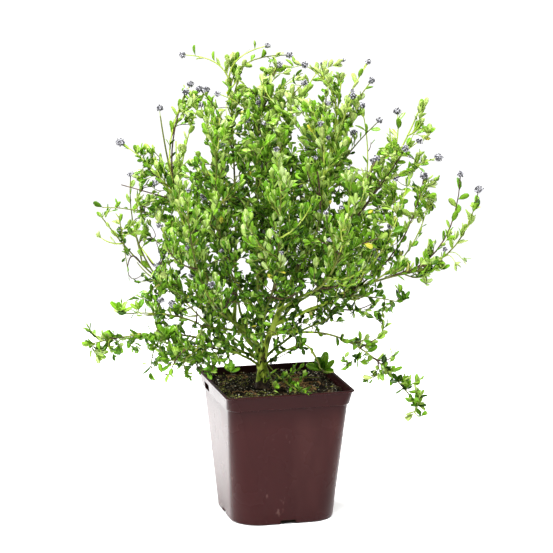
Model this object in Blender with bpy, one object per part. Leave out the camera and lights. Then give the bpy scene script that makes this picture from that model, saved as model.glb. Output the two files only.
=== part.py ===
"""A California lilac, a small-leaved flowering shrub, in a square nursery pot.

The frame is the pot's: +Z up, the origin in the middle of the pot's flat underside, and the pot's sides
along X and Y. The plant is laid out from its own foot, in millimetres: right, back and up. That layout
is turned in the pot by CROWN_TURN, so its right and back are not quite the pot's X and Y.

Every limb is a tapering tube along a quadratic curve. Every mass of foliage is one solid: a stem that
carries on from its bough, shoots that leave the stem by a seeded rule, leaves along the shoots and
flower heads at some tips. A mass keeps to its own space: each point of it lies nearer its own stem
and long shoots than any other mass's.
"""

import math
import random

import bmesh
import bpy
import numpy as np
from mathutils import Matrix, Vector
from mathutils.bvhtree import BVHTree

MM = 0.001
UP = Vector((0.0, 0.0, 1.0))
GOLDEN_ANGLE = math.radians(137.5)
SEAT_GAP = 0.3 * MM

# The pot, a tapering square with round corners, a collar below its rim and drain holes at its foot
POT_HEIGHT = 134 * MM
POT_RIM_SIDE = 130 * MM
POT_RIM_CORNER = 7 * MM
POT_COLLAR_TOP_SIDE = 127 * MM
POT_COLLAR_FOOT_SIDE = 124 * MM
POT_BODY_TOP_SIDE = 121 * MM
POT_BODY_TOP_CORNER = 12 * MM
POT_FOOT_SIDE = 104 * MM
POT_FOOT_CORNER = 29 * MM
POT_FOOT_ROUNDING = 1.6 * MM
POT_COLLAR_HEIGHT = 15 * MM
POT_LIP_HEIGHT = 2 * MM
POT_WALL = 1.4 * MM
POT_CORNER_STEPS = 4
DRAIN_WIDTH = 16 * MM
DRAIN_HEIGHT = 4.5 * MM
DRAIN_DEPTH = 9 * MM
LABEL_SLOT_LENGTH = 18 * MM
LABEL_SLOT_HEIGHT = 7 * MM
LABEL_SLOT_BELOW_RIM = 7 * MM
LABEL_SLOT_FROM_MIDDLE = 30 * MM
LABEL_SLOT_DEPTH = 8 * MM

# The compost, level in a ring round the plant's foot
SOIL_BELOW_RIM = 7 * MM
SOIL_EDGE_DROP = 1.2 * MM
SOIL_SWELL = 1.3 * MM
SOIL_RING_SHARES = (0.28, 0.56, 0.8)
FOOT_CLEARING = 12 * MM

# The plant's foot in the pot, and how far its layout is turned
FOOT_PLACE = Vector((-13.8 * MM, -1.5 * MM, POT_HEIGHT - SOIL_BELOW_RIM))
CROWN_TURN = math.radians(-14.5)

# The trunk: height above the compost and radius there, in mm. It leans and bends a little
TRUNK_FOOT = ((0, 8.0), (2.5, 6.6), (7, 5.7))
TRUNK_PROFILE = (*TRUNK_FOOT, (16, 5.1), (26, 5.0), (35, 5.3), (41, 4.8), (44, 3.2), (46, 1.4))
TRUNK_LEAN = (1.2, 0.4)
TRUNK_BEND = (-0.8, 0.3)
TRUNK_STOUTEST_FORK = 5.6
TRUNK_SIDES = 12
ROOT_LOBES = 5
ROOT_LOBE_SHARE = 0.10
ROOT_LOBE_FADE = 5 * MM

# Boughs, in mm from the plant's foot: the limb each leaves, where along it, its tip, how far it bows
# up for its length, and its radius at its root and at its tip
BOUGHS = {
    "left": ("trunk", 0.68, (-37, -4, 81), -0.06, 2.5, 1.6),
    "right": ("trunk", 0.72, (33, 4, 116), 0.05, 3.0, 2.0),
    "centre": ("trunk", 0.86, (-3, 6, 89), 0.00, 2.0, 1.5),
    "low_left": ("trunk", 0.56, (-55, -14, 52), 0.10, 1.7, 1.2),
    "low_front_left": ("trunk", 0.44, (-42, -44, 49), 0.12, 1.4, 1.0),
    "low_front_right": ("trunk", 0.42, (33, -34, 50), 0.10, 1.2, 0.9),
    "basal": ("trunk", 0.30, (10, -8, 15), 0.20, 0.9, 0.8),
    "low_back_left": ("trunk", 0.52, (-49, 66, 45), 0.12, 1.5, 1.0),
    "low_back_right": ("trunk", 0.60, (60, 62, 52), 0.12, 1.5, 1.0),
    "back_left": ("trunk", 0.80, (-40, 50, 65), 0.10, 1.7, 1.2),
    "front_left": ("trunk", 0.84, (-33, -44, 80), 0.10, 1.7, 1.2),
    "reach_left": ("left", 0.52, (-56, -34, 69), 0.04, 1.5, 1.0),
    "mid_left": ("left", 0.84, (-56, 12, 79), 0.10, 1.5, 1.1),
    "top_left": ("left", 0.70, (-26, 16, 115), -0.05, 1.7, 1.3),
    "low_right": ("right", 0.24, (51, -26, 62), 0.06, 1.6, 1.1),
    "mid_right": ("right", 0.36, (65, -14, 90), -0.02, 2.0, 1.3),
    "back_right": ("right", 0.30, (46, 54, 81), 0.10, 1.7, 1.2),
    "front_right": ("right", 0.48, (49, -46, 107), 0.10, 1.7, 1.2),
    "high_right": ("right", 0.82, (71, 26, 141), -0.05, 1.8, 1.4),
    "front": ("centre", 0.35, (8, -44, 98), 0.12, 1.5, 1.1),
    "back": ("centre", 0.30, (0, 50, 86), 0.12, 1.6, 1.1),
    "upper_front_left": ("centre", 0.58, (-20, -25, 104), 0.05, 1.5, 1.1),
    "upper_front_right": ("right", 0.64, (40, -24, 130), 0.05, 1.5, 1.1),
    "upper_back_left": ("left", 0.40, (-30, 34, 98), 0.08, 1.5, 1.1),
    "upper_back_right": ("centre", 0.66, (22, 32, 112), 0.05, 1.4, 1.1),
}
BOUGH_SIDES = 6
BOUGH_RINGS = 5

# Masses, named for their boughs: the tip of the stem, how far it bows up, the length of its longest
# side shoots in mm, and the share of shoots that end in flower
MASSES = {
    "left": ((-99, -12, 283), 0.06, 53, 0.15),
    "right": ((78, 8, 313), 0.05, 53, 0.17),
    "centre": ((2, -4, 311), 0.02, 51, 0.15),
    "low_left": ((-174, -34, 50), 0.03, 30, 0.00),
    "low_front_left": ((-81, -92, 58), 0.10, 34, 0.05),
    "low_front_right": ((60, -52, 19), 0.25, 23, 0.00),
    "basal": ((44, -68, 12), 0.02, 16, 0.00),
    "low_back_left": ((-133, 118, 130), 0.12, 46, 0.07),
    "low_back_right": ((144, 112, 141), 0.12, 46, 0.07),
    "back_left": ((-87, 104, 243), 0.10, 53, 0.12),
    "front_left": ((-70, -104, 230), 0.10, 53, 0.12),
    "reach_left": ((-140, -62, 88), 0.20, 34, 0.05),
    "mid_left": ((-164, 22, 176), 0.08, 46, 0.07),
    "top_left": ((-32, 20, 308), 0.04, 48, 0.10),
    "low_right": ((156, -66, -9), 0.02, 28, 0.00),
    "mid_right": ((175, -30, 127), 0.04, 39, 0.05),
    "back_right": ((123, 108, 228), 0.10, 53, 0.12),
    "front_right": ((85, -100, 235), 0.08, 51, 0.12),
    "high_right": ((158, 26, 283), -0.06, 46, 0.12),
    "front": ((19, -112, 256), 0.10, 53, 0.12),
    "back": ((28, 104, 272), 0.08, 53, 0.12),
    "upper_front_left": ((-38, -58, 290), 0.03, 44, 0.15),
    "upper_front_right": ((56, -54, 292), 0.03, 44, 0.15),
    "upper_back_left": ((-50, 62, 288), 0.03, 44, 0.15),
    "upper_back_right": ((64, 66, 290), 0.03, 44, 0.15),
}

# Long shoots that stand out of a mass: where along its stem, the tip, the bow, and a flower or none
LONG_SHOOTS = {
    "top_left": (
        (0.97, (-75, 14, 329), 0.10, 1),
        (0.99, (4, 26, 336), 0.10, 1),
        (0.93, (25, 36, 326), 0.16, 1),
    ),
    "left": (
        (0.50, (-134, -24, 248), 0.05, 1),
        (0.60, (-101, -40, 213), 0.00, 1),
        (0.72, (-70, 10, 299), 0.05, 1),
    ),
    "mid_left": ((0.62, (-133, 6, 110), 0.50, 0), (0.45, (-129, 24, 208), 0.05, 1)),
    "low_left": ((0.35, (-98, -50, 98), -0.10, 1), (0.30, (-107, -44, 15), 0.20, 0)),
    "low_front_left": ((0.55, (-90, -84, 25), 0.30, 0),),
    "mid_right": (
        (0.70, (192, -22, 216), -0.12, 1),
        (0.78, (208, -42, 204), -0.12, 1),
        (0.10, (138, -40, 94), -0.10, 0),
    ),
    "low_right": ((0.30, (108, -30, 63), -0.10, 0), (0.55, (129, -80, 57), -0.05, 0)),
    "high_right": ((0.45, (170, 0, 230), -0.12, 1), (0.55, (134, 50, 266), -0.08, 1)),
    "right": (
        (0.72, (103, 24, 319), -0.05, 1),
        (0.80, (43, -14, 322), 0.10, 1),
        (0.60, (105, -10, 306), -0.05, 1),
    ),
    "centre": ((0.80, (16, -20, 323), 0.05, 1), (0.75, (-41, -16, 295), 0.06, 1)),
    "back": ((0.80, (60, 110, 305), 0.05, 1),),
    "back_left": ((0.70, (-57, 96, 281), 0.05, 1),),
    "back_right": ((0.70, (100, 96, 265), 0.00, 1),),
}

# How stems and long shoots set off: the share of the chord that they run straight on before they bend
STEM_SET_OFF = 0.45
LONG_SHOOT_SET_OFF = 0.35
LONG_SHOOT_LEAN = 0.15

# Side shoots: they set off outwards, then turn along the stem and up. They are longest mid-stem
SEED = 7
SHOOT_SPACING = 23 * MM
SHORTEST_SHOOT = 11 * MM
SHOOT_TURN_JITTER = 0.35
SHOOT_LENGTH_JITTER = 0.2
SHOOT_LENGTH_PHASE = (0.25, 0.60)
SHOOT_SET_OFF_PARTS = (0.85, 0.55)
SHOOT_END_PARTS = (0.62, 0.62, 0.30)
SHOOT_RADII = (1.1 * MM, 0.75 * MM)
SHOOT_SIDES = 3
STEM_TIP_RADIUS = 0.8 * MM
STEM_SIDES = 4
STEM_RINGS = 7
LONG_SHOOT_RINGS = 4
SHOOT_RINGS = 3
SHORT_SHOOT_RINGS = 2
SHORT_SHOOT_LENGTH = 38 * MM

# Leaves: fewer and larger than life, so that the crown reads full. A leaf that doesn't fit tries the
# next of its turns, and a tip leaf the next of its rolls and sizes
LEAF_SPACING = 17 * MM
LEAF_LENGTH = 26 * MM
LEAF_WIDTH = 15.5 * MM
LEAF_THICKNESS = 1.0 * MM
LEAF_WIDEST_AT = 0.55
LEAF_RIDGE_AT = 0.40
LEAF_TEST_AT = 0.30
LEAF_SIZES = (0.85, 1.12)
LEAF_SINK = 0.15 * MM
LEAF_SPREAD = math.radians(52)
LEAF_SPREAD_JITTER = 0.2
LEAF_LIFT = 0.15
LEAF_TURNS = (0.0, 0.7, -0.7)
LEAF_FACING_OUT = 0.6
LEAF_ROLL = 0.5
CROWN_MIDDLE = 150 * MM
FIRST_SHOOT_LEAF = 0.20
FIRST_STEM_LEAF = 0.12
LAST_LEAF = 0.95
STEM_LEAF_SPACING = 2 * LEAF_SPACING
TIP_LEAF_REACH = 0.85
TIP_LEAF_ROLLS = (0.0, 0.8, 1.6, 2.4)
TIP_LEAF_SIZES = (1.0, 0.7)
LEAST_WOOD_SHARE = 0.4
BLOSSOM_RADIUS = 4.6 * MM

# The masses' spaces
CELL_MARGIN = 1.6 * MM
LIMB_CLEARANCE = 1.2 * MM
SKELETON_STEP = 3 * MM
LIMB_STEP = 1.2 * MM
FIT_STEPS = 10
FIT_FROM_STEP = 2


def clear_scene():
    for obj in list(bpy.data.objects):
        bpy.data.objects.remove(obj)


def make_material(name, colour, roughness):
    material = bpy.data.materials.new(name)
    material.use_nodes = True
    shader = material.node_tree.nodes["Principled BSDF"]
    shader.inputs["Base Color"].default_value = (*colour, 1.0)
    shader.inputs["Roughness"].default_value = roughness
    shader.inputs["Metallic"].default_value = 0.0
    return material


def make_object(name, points, faces, material, smooth=True):
    mesh = bpy.data.meshes.new(name)
    mesh.from_pydata([tuple(p) for p in points], [], faces)
    mesh.materials.append(material)
    if smooth:
        mesh.shade_smooth()
    obj = bpy.data.objects.new(name, mesh)
    bpy.context.scene.collection.objects.link(obj)
    return obj


def place(point_mm):
    """A point of the plant's layout (right, back, up in mm) in the pot's frame."""
    turned = Matrix.Rotation(CROWN_TURN, 3, "Z") @ Vector(point_mm)
    return FOOT_PLACE + turned * MM


def loft(rings):
    """Points and faces of a closed tube through rings with equal numbers of points."""
    count = len(rings[0])
    points = [p for ring in rings for p in ring]
    faces = [tuple(range(count - 1, -1, -1))]
    for k in range(len(rings) - 1):
        for i in range(count):
            j = (i + 1) % count
            faces.append((k * count + i, k * count + j, (k + 1) * count + j, (k + 1) * count + i))
    last = (len(rings) - 1) * count
    faces.append(tuple(range(last, last + count)))
    return points, faces


class Curve:
    """A quadratic curve from start to end, bent towards its control point."""

    def __init__(self, start, control, end):
        self.start, self.control, self.end = start, control, end

    def at(self, share):
        rest = 1 - share
        return self.start * rest**2 + self.control * 2 * rest * share + self.end * share**2

    def direction(self, share):
        slope = (self.control - self.start) * (1 - share) + (self.end - self.control) * share
        return slope.normalized()

    def length(self, steps=12):
        points = [self.at(i / steps) for i in range(steps + 1)]
        return sum((b - a).length for a, b in zip(points, points[1:]))

    def shortened(self, share):
        """The same curve, ended at this share of it."""
        return Curve(self.start, self.start.lerp(self.control, share), self.at(share))

    def before_tip_leaf(self):
        """The wood under a tip leaf, which fills the rest of the curve."""
        return self.shortened(max(LEAST_WOOD_SHARE, 1 - TIP_LEAF_REACH * LEAF_LENGTH / self.length()))


def lift_across(chord):
    """Upwards, square to a chord: nothing for an upright chord, so those don't bow."""
    along = chord.normalized()
    return (UP - along * UP.dot(along)) * chord.length


def ring_frames(curve, shares):
    """A pair of axes square to the curve at each share, carried along it without twisting."""
    side = curve.direction(shares[0]).orthogonal().normalized()
    frames = []
    for share in shares:
        along = curve.direction(share)
        side = (side - along * side.dot(along)).normalized()
        frames.append((side, along.cross(side)))
    return frames


def tube(curve, radii, sides, rings):
    """Points and faces of a closed tube along the curve, tapering evenly between two radii."""
    shares = [k / (rings - 1) for k in range(rings)]
    turns = [math.tau * i / sides for i in range(sides)]
    loops = []
    for share, (side, other) in zip(shares, ring_frames(curve, shares)):
        radius = radii[0] + (radii[1] - radii[0]) * share
        loops.append([curve.at(share) + (side * math.cos(t) + other * math.sin(t)) * radius for t in turns])
    return loft(loops)


def rounded_square(side, corner, height):
    """Points round a square with round corners, anticlockwise from the +X +Y corner."""
    flat = side / 2 - corner
    points = []
    for quarter, (sx, sy) in enumerate(((1, 1), (-1, 1), (-1, -1), (1, -1))):
        for i in range(POT_CORNER_STEPS + 1):
            turn = math.pi / 2 * (quarter + i / POT_CORNER_STEPS)
            x = sx * flat + corner * math.cos(turn)
            y = sy * flat + corner * math.sin(turn)
            points.append(Vector((x, y, height)))
    return points


def cut(target, cutter):
    """Cuts the cutter out of the target for good, and removes the cutter."""
    modifier = target.modifiers.new("cut", "BOOLEAN")
    modifier.operation = "DIFFERENCE"
    modifier.solver = "EXACT"
    modifier.object = cutter
    bpy.context.view_layer.objects.active = target
    bpy.ops.object.modifier_apply(modifier=modifier.name)
    bpy.data.objects.remove(cutter)


def cut_box(target, centre, size):
    bpy.ops.mesh.primitive_cube_add(size=1, location=centre)
    cutter = bpy.context.active_object
    cutter.scale = size
    bpy.context.view_layer.update()
    cut(target, cutter)


def pot_side(height):
    """Side and corner radius of the pot's body, outside, at a height."""
    share = height / (POT_HEIGHT - POT_COLLAR_HEIGHT)
    side = POT_FOOT_SIDE + (POT_BODY_TOP_SIDE - POT_FOOT_SIDE) * share
    corner = POT_FOOT_CORNER + (POT_BODY_TOP_CORNER - POT_FOOT_CORNER) * share
    return side, corner


def build_pot(material):
    collar_foot = POT_HEIGHT - POT_COLLAR_HEIGHT
    lip_foot = POT_HEIGHT - POT_LIP_HEIGHT
    rings = [rounded_square(POT_FOOT_SIDE - 2 * POT_FOOT_ROUNDING, POT_FOOT_CORNER - POT_FOOT_ROUNDING, 0.0)]
    for height in (POT_FOOT_ROUNDING, collar_foot / 2, collar_foot):
        side, corner = pot_side(height)
        rings.append(rounded_square(side, corner, height))
    collar_corner = POT_BODY_TOP_CORNER
    rings.append(rounded_square(POT_COLLAR_FOOT_SIDE, collar_corner, collar_foot + POT_WALL / 2))
    rings.append(rounded_square(POT_COLLAR_TOP_SIDE, POT_RIM_CORNER, lip_foot))
    rings.append(rounded_square(POT_RIM_SIDE, POT_RIM_CORNER, lip_foot + POT_WALL / 2))
    rings.append(rounded_square(POT_RIM_SIDE, POT_RIM_CORNER, POT_HEIGHT))
    for side, corner, height in (
        (POT_COLLAR_TOP_SIDE, POT_RIM_CORNER, POT_HEIGHT),
        (POT_COLLAR_FOOT_SIDE, collar_corner, collar_foot + POT_WALL),
        (POT_BODY_TOP_SIDE, POT_BODY_TOP_CORNER, collar_foot),
        (*pot_side(POT_WALL), POT_WALL),
    ):
        rings.append(rounded_square(side - 2 * POT_WALL, corner - POT_WALL, height))
    pot = make_object("pot", *loft(rings), material)
    for turn in range(4):
        way = Matrix.Rotation(turn * math.pi / 2, 3, "Z")
        centre = way @ Vector((0, -POT_FOOT_SIDE / 2, 0))
        size = way @ Vector((DRAIN_WIDTH, 2 * DRAIN_DEPTH, 2 * DRAIN_HEIGHT))
        cut_box(pot, centre, [abs(s) for s in size])
    slot_height = POT_HEIGHT - LABEL_SLOT_BELOW_RIM - LABEL_SLOT_HEIGHT / 2
    slot_centre = (-POT_COLLAR_TOP_SIDE / 2, LABEL_SLOT_FROM_MIDDLE, slot_height)
    cut_box(pot, slot_centre, (LABEL_SLOT_DEPTH, LABEL_SLOT_LENGTH, LABEL_SLOT_HEIGHT))
    pot.data.set_sharp_from_angle(angle=math.radians(35))
    return pot


def build_compost(material):
    """The filled inside of the pot, SEAT_GAP clear of its wall, gently uneven on top."""
    inset = POT_WALL + SEAT_GAP
    collar_foot = POT_HEIGHT - POT_COLLAR_HEIGHT
    top = FOOT_PLACE.z
    rings = []
    for height in (inset, collar_foot - POT_WALL):
        side, corner = pot_side(height)
        rings.append(rounded_square(side - 2 * inset, corner - inset, height))
    share = (top - SOIL_EDGE_DROP - collar_foot) / POT_COLLAR_HEIGHT
    top_side = POT_COLLAR_FOOT_SIDE + (POT_COLLAR_TOP_SIDE - POT_COLLAR_FOOT_SIDE) * share - 2 * inset
    corner = POT_BODY_TOP_CORNER - inset
    rings.append(rounded_square(POT_BODY_TOP_SIDE - 2 * inset, corner, collar_foot + POT_WALL))
    edge = rounded_square(top_side - SEAT_GAP, corner, top - SOIL_EDGE_DROP)
    rings.append(edge)
    middle = Vector((FOOT_PLACE.x, FOOT_PLACE.y, top))
    clearing = []
    for point in edge:
        away = Vector((point.x - middle.x, point.y - middle.y, 0)).normalized()
        clearing.append(middle + away * FOOT_CLEARING)
    for number, share in enumerate(SOIL_RING_SHARES):
        ring = []
        for i, (outer, inner) in enumerate(zip(edge, clearing)):
            point = outer.lerp(inner, share)
            swell = math.sin(3 * math.tau * i / len(edge) + 2.1 * number)
            point.z = top + SOIL_SWELL * swell * (1 - share)
            ring.append(point)
        rings.append(ring)
    rings.append(clearing)
    return make_object("compost", *loft(rings), material)


def trunk_curve():
    height = TRUNK_PROFILE[-1][0]
    middle = [lean / 2 + bend for lean, bend in zip(TRUNK_LEAN, TRUNK_BEND)]
    return Curve(place((0, 0, 0)), place((*middle, height / 2)), place((*TRUNK_LEAN, height)))


def build_trunk(material, grown=0.0, name="trunk"):
    """The trunk, or with grown above 0 a stouter copy that cuts room for it out of a bough."""
    full = TRUNK_PROFILE[-1][0]
    curve = trunk_curve()
    rings = []
    for height, radius in TRUNK_PROFILE:
        share = height / full
        middle = curve.at(share) + UP * (SEAT_GAP + (grown if height == full else 0))
        lobe = ROOT_LOBE_SHARE * math.exp(-height * MM / ROOT_LOBE_FADE)
        ring = []
        for i in range(TRUNK_SIDES):
            turn = math.tau * i / TRUNK_SIDES
            swollen = radius * MM * (1 + lobe * math.cos(ROOT_LOBES * turn)) + grown
            ring.append(middle + Vector((math.cos(turn), math.sin(turn), 0)) * swollen)
        rings.append(ring)
    return make_object(name, *loft(rings), material)


def bough_curves():
    curves = {"trunk": trunk_curve()}
    for name, (parent, share, tip, bow, _, _) in BOUGHS.items():
        start = curves[parent].at(share)
        end = place(tip)
        curves[name] = Curve(start, (start + end) / 2 + lift_across(end - start) * bow, end)
    return curves


def build_boughs(curves, material):
    """Each bough starts on its parent's axis and is cut back to stand SEAT_GAP clear of it and the trunk."""
    for name, (parent, _, _, _, root, tip) in BOUGHS.items():
        points, faces = tube(curves[name], (root * MM, tip * MM), BOUGH_SIDES, BOUGH_RINGS)
        bough = make_object("bough_" + name, points, faces, material)
        cut(bough, build_trunk(material, SEAT_GAP, "cutter"))
        if parent != "trunk":
            radii = [radius * MM + SEAT_GAP for radius in BOUGHS[parent][4:]]
            points, faces = tube(curves[parent], radii, BOUGH_SIDES, BOUGH_RINGS)
            cut(bough, make_object("cutter", points, faces, material))
        keep_largest_body(bough)


def keep_largest_body(obj):
    """Drops loose scraps that a Boolean leaves."""
    shape = bmesh.new()
    shape.from_mesh(obj.data)
    waiting = set(shape.verts)
    bodies = []
    while waiting:
        body, edge = set(), [waiting.pop()]
        while edge:
            vert = edge.pop()
            body.add(vert)
            near = {link.other_vert(vert) for link in vert.link_edges} & waiting
            waiting -= near
            edge.extend(near)
        bodies.append(body)
    bodies.sort(key=len)
    for body in bodies[:-1]:
        bmesh.ops.delete(shape, geom=list(body), context="VERTS")
    shape.to_mesh(obj.data)
    shape.free()


def stem_curve(curves, name):
    """A mass's stem goes on from its bough in the same direction, and bends to its tip."""
    tip, bow, _, _ = MASSES[name]
    bough = curves[name]
    heading = bough.direction(1.0)
    start = bough.end + heading * SEAT_GAP
    chord = place(tip) - start
    control = start + heading * STEM_SET_OFF * chord.length + lift_across(chord) * bow
    return Curve(start, control, place(tip))


def long_shoot_curve(stem, share, tip, bow):
    start, end = stem.at(share), place(tip)
    chord = end - start
    set_off = stem.direction(share) * LONG_SHOOT_SET_OFF * chord.length + chord * LONG_SHOOT_LEAN
    return Curve(start, start + set_off + lift_across(chord) * bow, end)


def side_shoot_curves(stem, longest, chance):
    """Shoots round the stem by the golden angle."""
    count = max(2, round(stem.length() / SHOOT_SPACING))
    turn = chance.uniform(0, math.tau)
    first_phase, phase_span = SHOOT_LENGTH_PHASE
    shoots = []
    for k in range(count):
        share = (k + 0.5) / count
        turn += GOLDEN_ANGLE + chance.uniform(-SHOOT_TURN_JITTER, SHOOT_TURN_JITTER)
        along = stem.direction(share)
        outwards = Matrix.Rotation(turn, 3, along) @ along.orthogonal().normalized()
        swell = math.sin(math.pi * (first_phase + phase_span * share))
        reach = longest * MM * swell * chance.uniform(1 - SHOOT_LENGTH_JITTER, 1 + SHOOT_LENGTH_JITTER)
        out_part, along_part = SHOOT_SET_OFF_PARTS
        heading = (outwards * out_part + along * along_part).normalized()
        out_part, along_part, up_part = SHOOT_END_PARTS
        end_way = (outwards * out_part + along * along_part + UP * up_part).normalized()
        start = stem.at(share)
        shoots.append(Curve(start, start + heading * reach / 2, start + end_way * reach))
    return shoots


class Space:
    """Says which points a mass may use: nearer its own stem than any other, and clear of the limbs."""

    def __init__(self, skeletons, limbs):
        self.names = list(skeletons)
        points, owners = [], []
        for number, name in enumerate(self.names):
            for curve in skeletons[name]:
                steps = max(2, round(curve.length() / SKELETON_STEP))
                points += [curve.at(i / steps) for i in range(steps + 1)]
                owners += [number] * (steps + 1)
        self.points, self.owners = np.array(points), np.array(owners)
        limb_points, limb_radii = [], []
        for curve, radii in limbs:
            steps = max(2, round(curve.length() / LIMB_STEP))
            limb_points += [curve.at(i / steps) for i in range(steps + 1)]
            limb_radii += [radii[0] + (radii[1] - radii[0]) * i / steps for i in range(steps + 1)]
        self.limb_points, self.limb_radii = np.array(limb_points), np.array(limb_radii)

    def holds(self, name, points):
        """For each point, whether the mass may use it."""
        points = np.array([tuple(p) for p in points])
        gaps = np.linalg.norm(points[:, None] - self.points[None], axis=2)
        own = self.owners == self.names.index(name)
        nearer = gaps[:, own].min(1) + CELL_MARGIN < gaps[:, ~own].min(1)
        room = np.linalg.norm(points[:, None] - self.limb_points[None], axis=2) - self.limb_radii
        clear = room.min(1) > LIMB_CLEARANCE
        ground = points[:, 2] > POT_HEIGHT + LIMB_CLEARANCE
        inside = np.abs(points[:, :2]).max(1) < POT_RIM_SIDE / 2 + LIMB_CLEARANCE
        return nearer & clear & (ground | ~inside)

    def fit(self, name, curve):
        """The share of a shoot that stays in the mass's space."""
        points = [curve.at(i / FIT_STEPS) for i in range(FIT_FROM_STEP, FIT_STEPS + 1)]
        held = self.holds(name, points)
        share = 1.0 if held.all() else (int(np.argmin(held)) + FIT_FROM_STEP - 1) / FIT_STEPS
        return share if share * curve.length() > SHORTEST_SHOOT else 0.0


def leaf_shape(root, heading, face, length, width):
    """A pointed leaf with a flat back and a ridge on its face. It starts at root and lies square to face."""
    side = heading.cross(face).normalized()
    face = side.cross(heading).normalized()
    wide = root + heading * length * LEAF_WIDEST_AT
    ridge = root + heading * length * LEAF_RIDGE_AT + face * LEAF_THICKNESS
    points = [root, wide + side * width / 2, root + heading * length, wide - side * width / 2, ridge]
    faces = [(0, 1, 4), (1, 2, 4), (2, 3, 4), (3, 0, 4), (0, 3, 1), (1, 3, 2)]
    return points, faces


def leaves_along(curve, first, spacing, chance):
    """For each leaf along a shoot, the few ways it may turn: its size, root, heading and face."""
    length = curve.length()
    count = max(1, round((1 - first) * length / spacing))
    turn = chance.uniform(0, math.tau)
    for k in range(count):
        share = first + (LAST_LEAF - first) * (k + 0.5) / count
        turn += GOLDEN_ANGLE
        along = curve.direction(share)
        spread = LEAF_SPREAD * chance.uniform(1 - LEAF_SPREAD_JITTER, 1 + LEAF_SPREAD_JITTER)
        size = chance.uniform(*LEAF_SIZES)
        roll = chance.uniform(-LEAF_ROLL, LEAF_ROLL)
        ways = []
        for extra in LEAF_TURNS:
            outwards = Matrix.Rotation(turn + extra, 3, along) @ along.orthogonal().normalized()
            heading = (along * math.cos(spread) + outwards * math.sin(spread) + UP * LEAF_LIFT).normalized()
            root = curve.at(share) - heading * LEAF_SINK
            face = along + out_of_crown(root) * LEAF_FACING_OUT
            ways.append((size, root, heading, Matrix.Rotation(roll, 3, heading) @ face))
        yield ways


def out_of_crown(point):
    """The way out of the crown at a point, from a place in its middle."""
    return (point - FOOT_PLACE - UP * CROWN_MIDDLE).normalized()


def tip_leaf_ways(curve):
    """The ways a leaf may end a shoot: full size or smaller, rolled about its own length."""
    along = curve.direction(1.0)
    side = out_of_crown(curve.end)
    root = curve.end - along * SHOOT_RADII[1]
    ways = []
    for size in TIP_LEAF_SIZES:
        for roll in TIP_LEAF_ROLLS:
            ways.append((size, root, along, Matrix.Rotation(roll, 3, along) @ side))
    return ways


def flower_head(centre):
    """A ball of twenty faces."""
    shape = bmesh.new()
    bmesh.ops.create_icosphere(shape, subdivisions=1, radius=BLOSSOM_RADIUS)
    points = [centre + vert.co for vert in shape.verts]
    faces = [tuple(vert.index for vert in face.verts) for face in shape.faces]
    shape.free()
    return points, faces


class MassBuilder:
    """Gathers the pieces of one mass in a collection, then joins them into one solid."""

    def __init__(self, name, space, materials):
        self.name, self.space, self.materials = name, space, materials
        self.collection = bpy.data.collections.new("pieces_" + name)
        bpy.context.scene.collection.children.link(self.collection)
        self.trees = []
        self.leaves = 0

    def note(self, points, faces):
        self.trees.append(BVHTree.FromPolygons(points, faces))
        return self.trees[-1]

    def add(self, points, faces, material):
        obj = make_object("piece", points, faces, self.materials[material], smooth=False)
        bpy.context.scene.collection.objects.unlink(obj)
        self.collection.objects.link(obj)
        return self.note(points, faces)

    def crosses(self, points, faces, carrier):
        """Whether a piece would cut any piece but the one that carries it."""
        tree = BVHTree.FromPolygons(points, faces)
        return any(tree.overlap(other) for other in self.trees if other is not carrier)

    def add_shoot(self, curve, flower, rings, carrier):
        """Adds a shoot unless it cuts another, and gives its wood, whether it flowers, and its tree."""
        wood = curve if flower else curve.before_tip_leaf()
        points, faces = tube(wood, SHOOT_RADII, SHOOT_SIDES, rings)
        if self.crosses(points, faces, carrier):
            return None
        return wood, flower, self.add(points, faces, "shoot")

    def add_leaf(self, ways, carrier):
        """Adds the leaf in the first way that stays in the mass's space and cuts nothing."""
        for size, root, heading, face in ways:
            points, faces = leaf_shape(root, heading, face, LEAF_LENGTH * size, LEAF_WIDTH * size)
            middle = root + heading * LEAF_LENGTH * size * LEAF_TEST_AT
            if self.space.holds(self.name, points[1:] + [middle]).all():
                if not self.crosses(points, faces, carrier):
                    self.add(points, faces, "leaf")
                    self.leaves += 1
                    return

    def add_blossom(self, centre, carrier):
        points, faces = flower_head(centre)
        if self.space.holds(self.name, points).all() and not self.crosses(points, faces, carrier):
            self.add(points, faces, "blossom")

    def join(self, stem_points, stem_faces):
        shoot = self.materials["shoot"]
        mass = make_object("foliage_" + self.name, stem_points, stem_faces, shoot, smooth=False)
        for material in ("leaf", "blossom"):
            mass.data.materials.append(self.materials[material])
        modifier = mass.modifiers.new("join", "BOOLEAN")
        modifier.operation = "UNION"
        modifier.operand_type = "COLLECTION"
        modifier.solver = "EXACT"
        modifier.material_mode = "TRANSFER"
        modifier.collection = self.collection
        bpy.context.view_layer.objects.active = mass
        bpy.ops.object.modifier_apply(modifier=modifier.name)
        for piece in list(self.collection.objects):
            bpy.data.objects.remove(piece)
        bpy.data.collections.remove(self.collection)
        keep_largest_body(mass)
        return mass


def wood_of_stem(name, stem):
    """The stem under its tip leaf, or all of it where long shoots leave close to its tip."""
    wood = stem.before_tip_leaf()
    last = max((row[0] for row in LONG_SHOOTS.get(name, ())), default=0)
    return stem if last * stem.length() > wood.length() else wood


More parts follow.
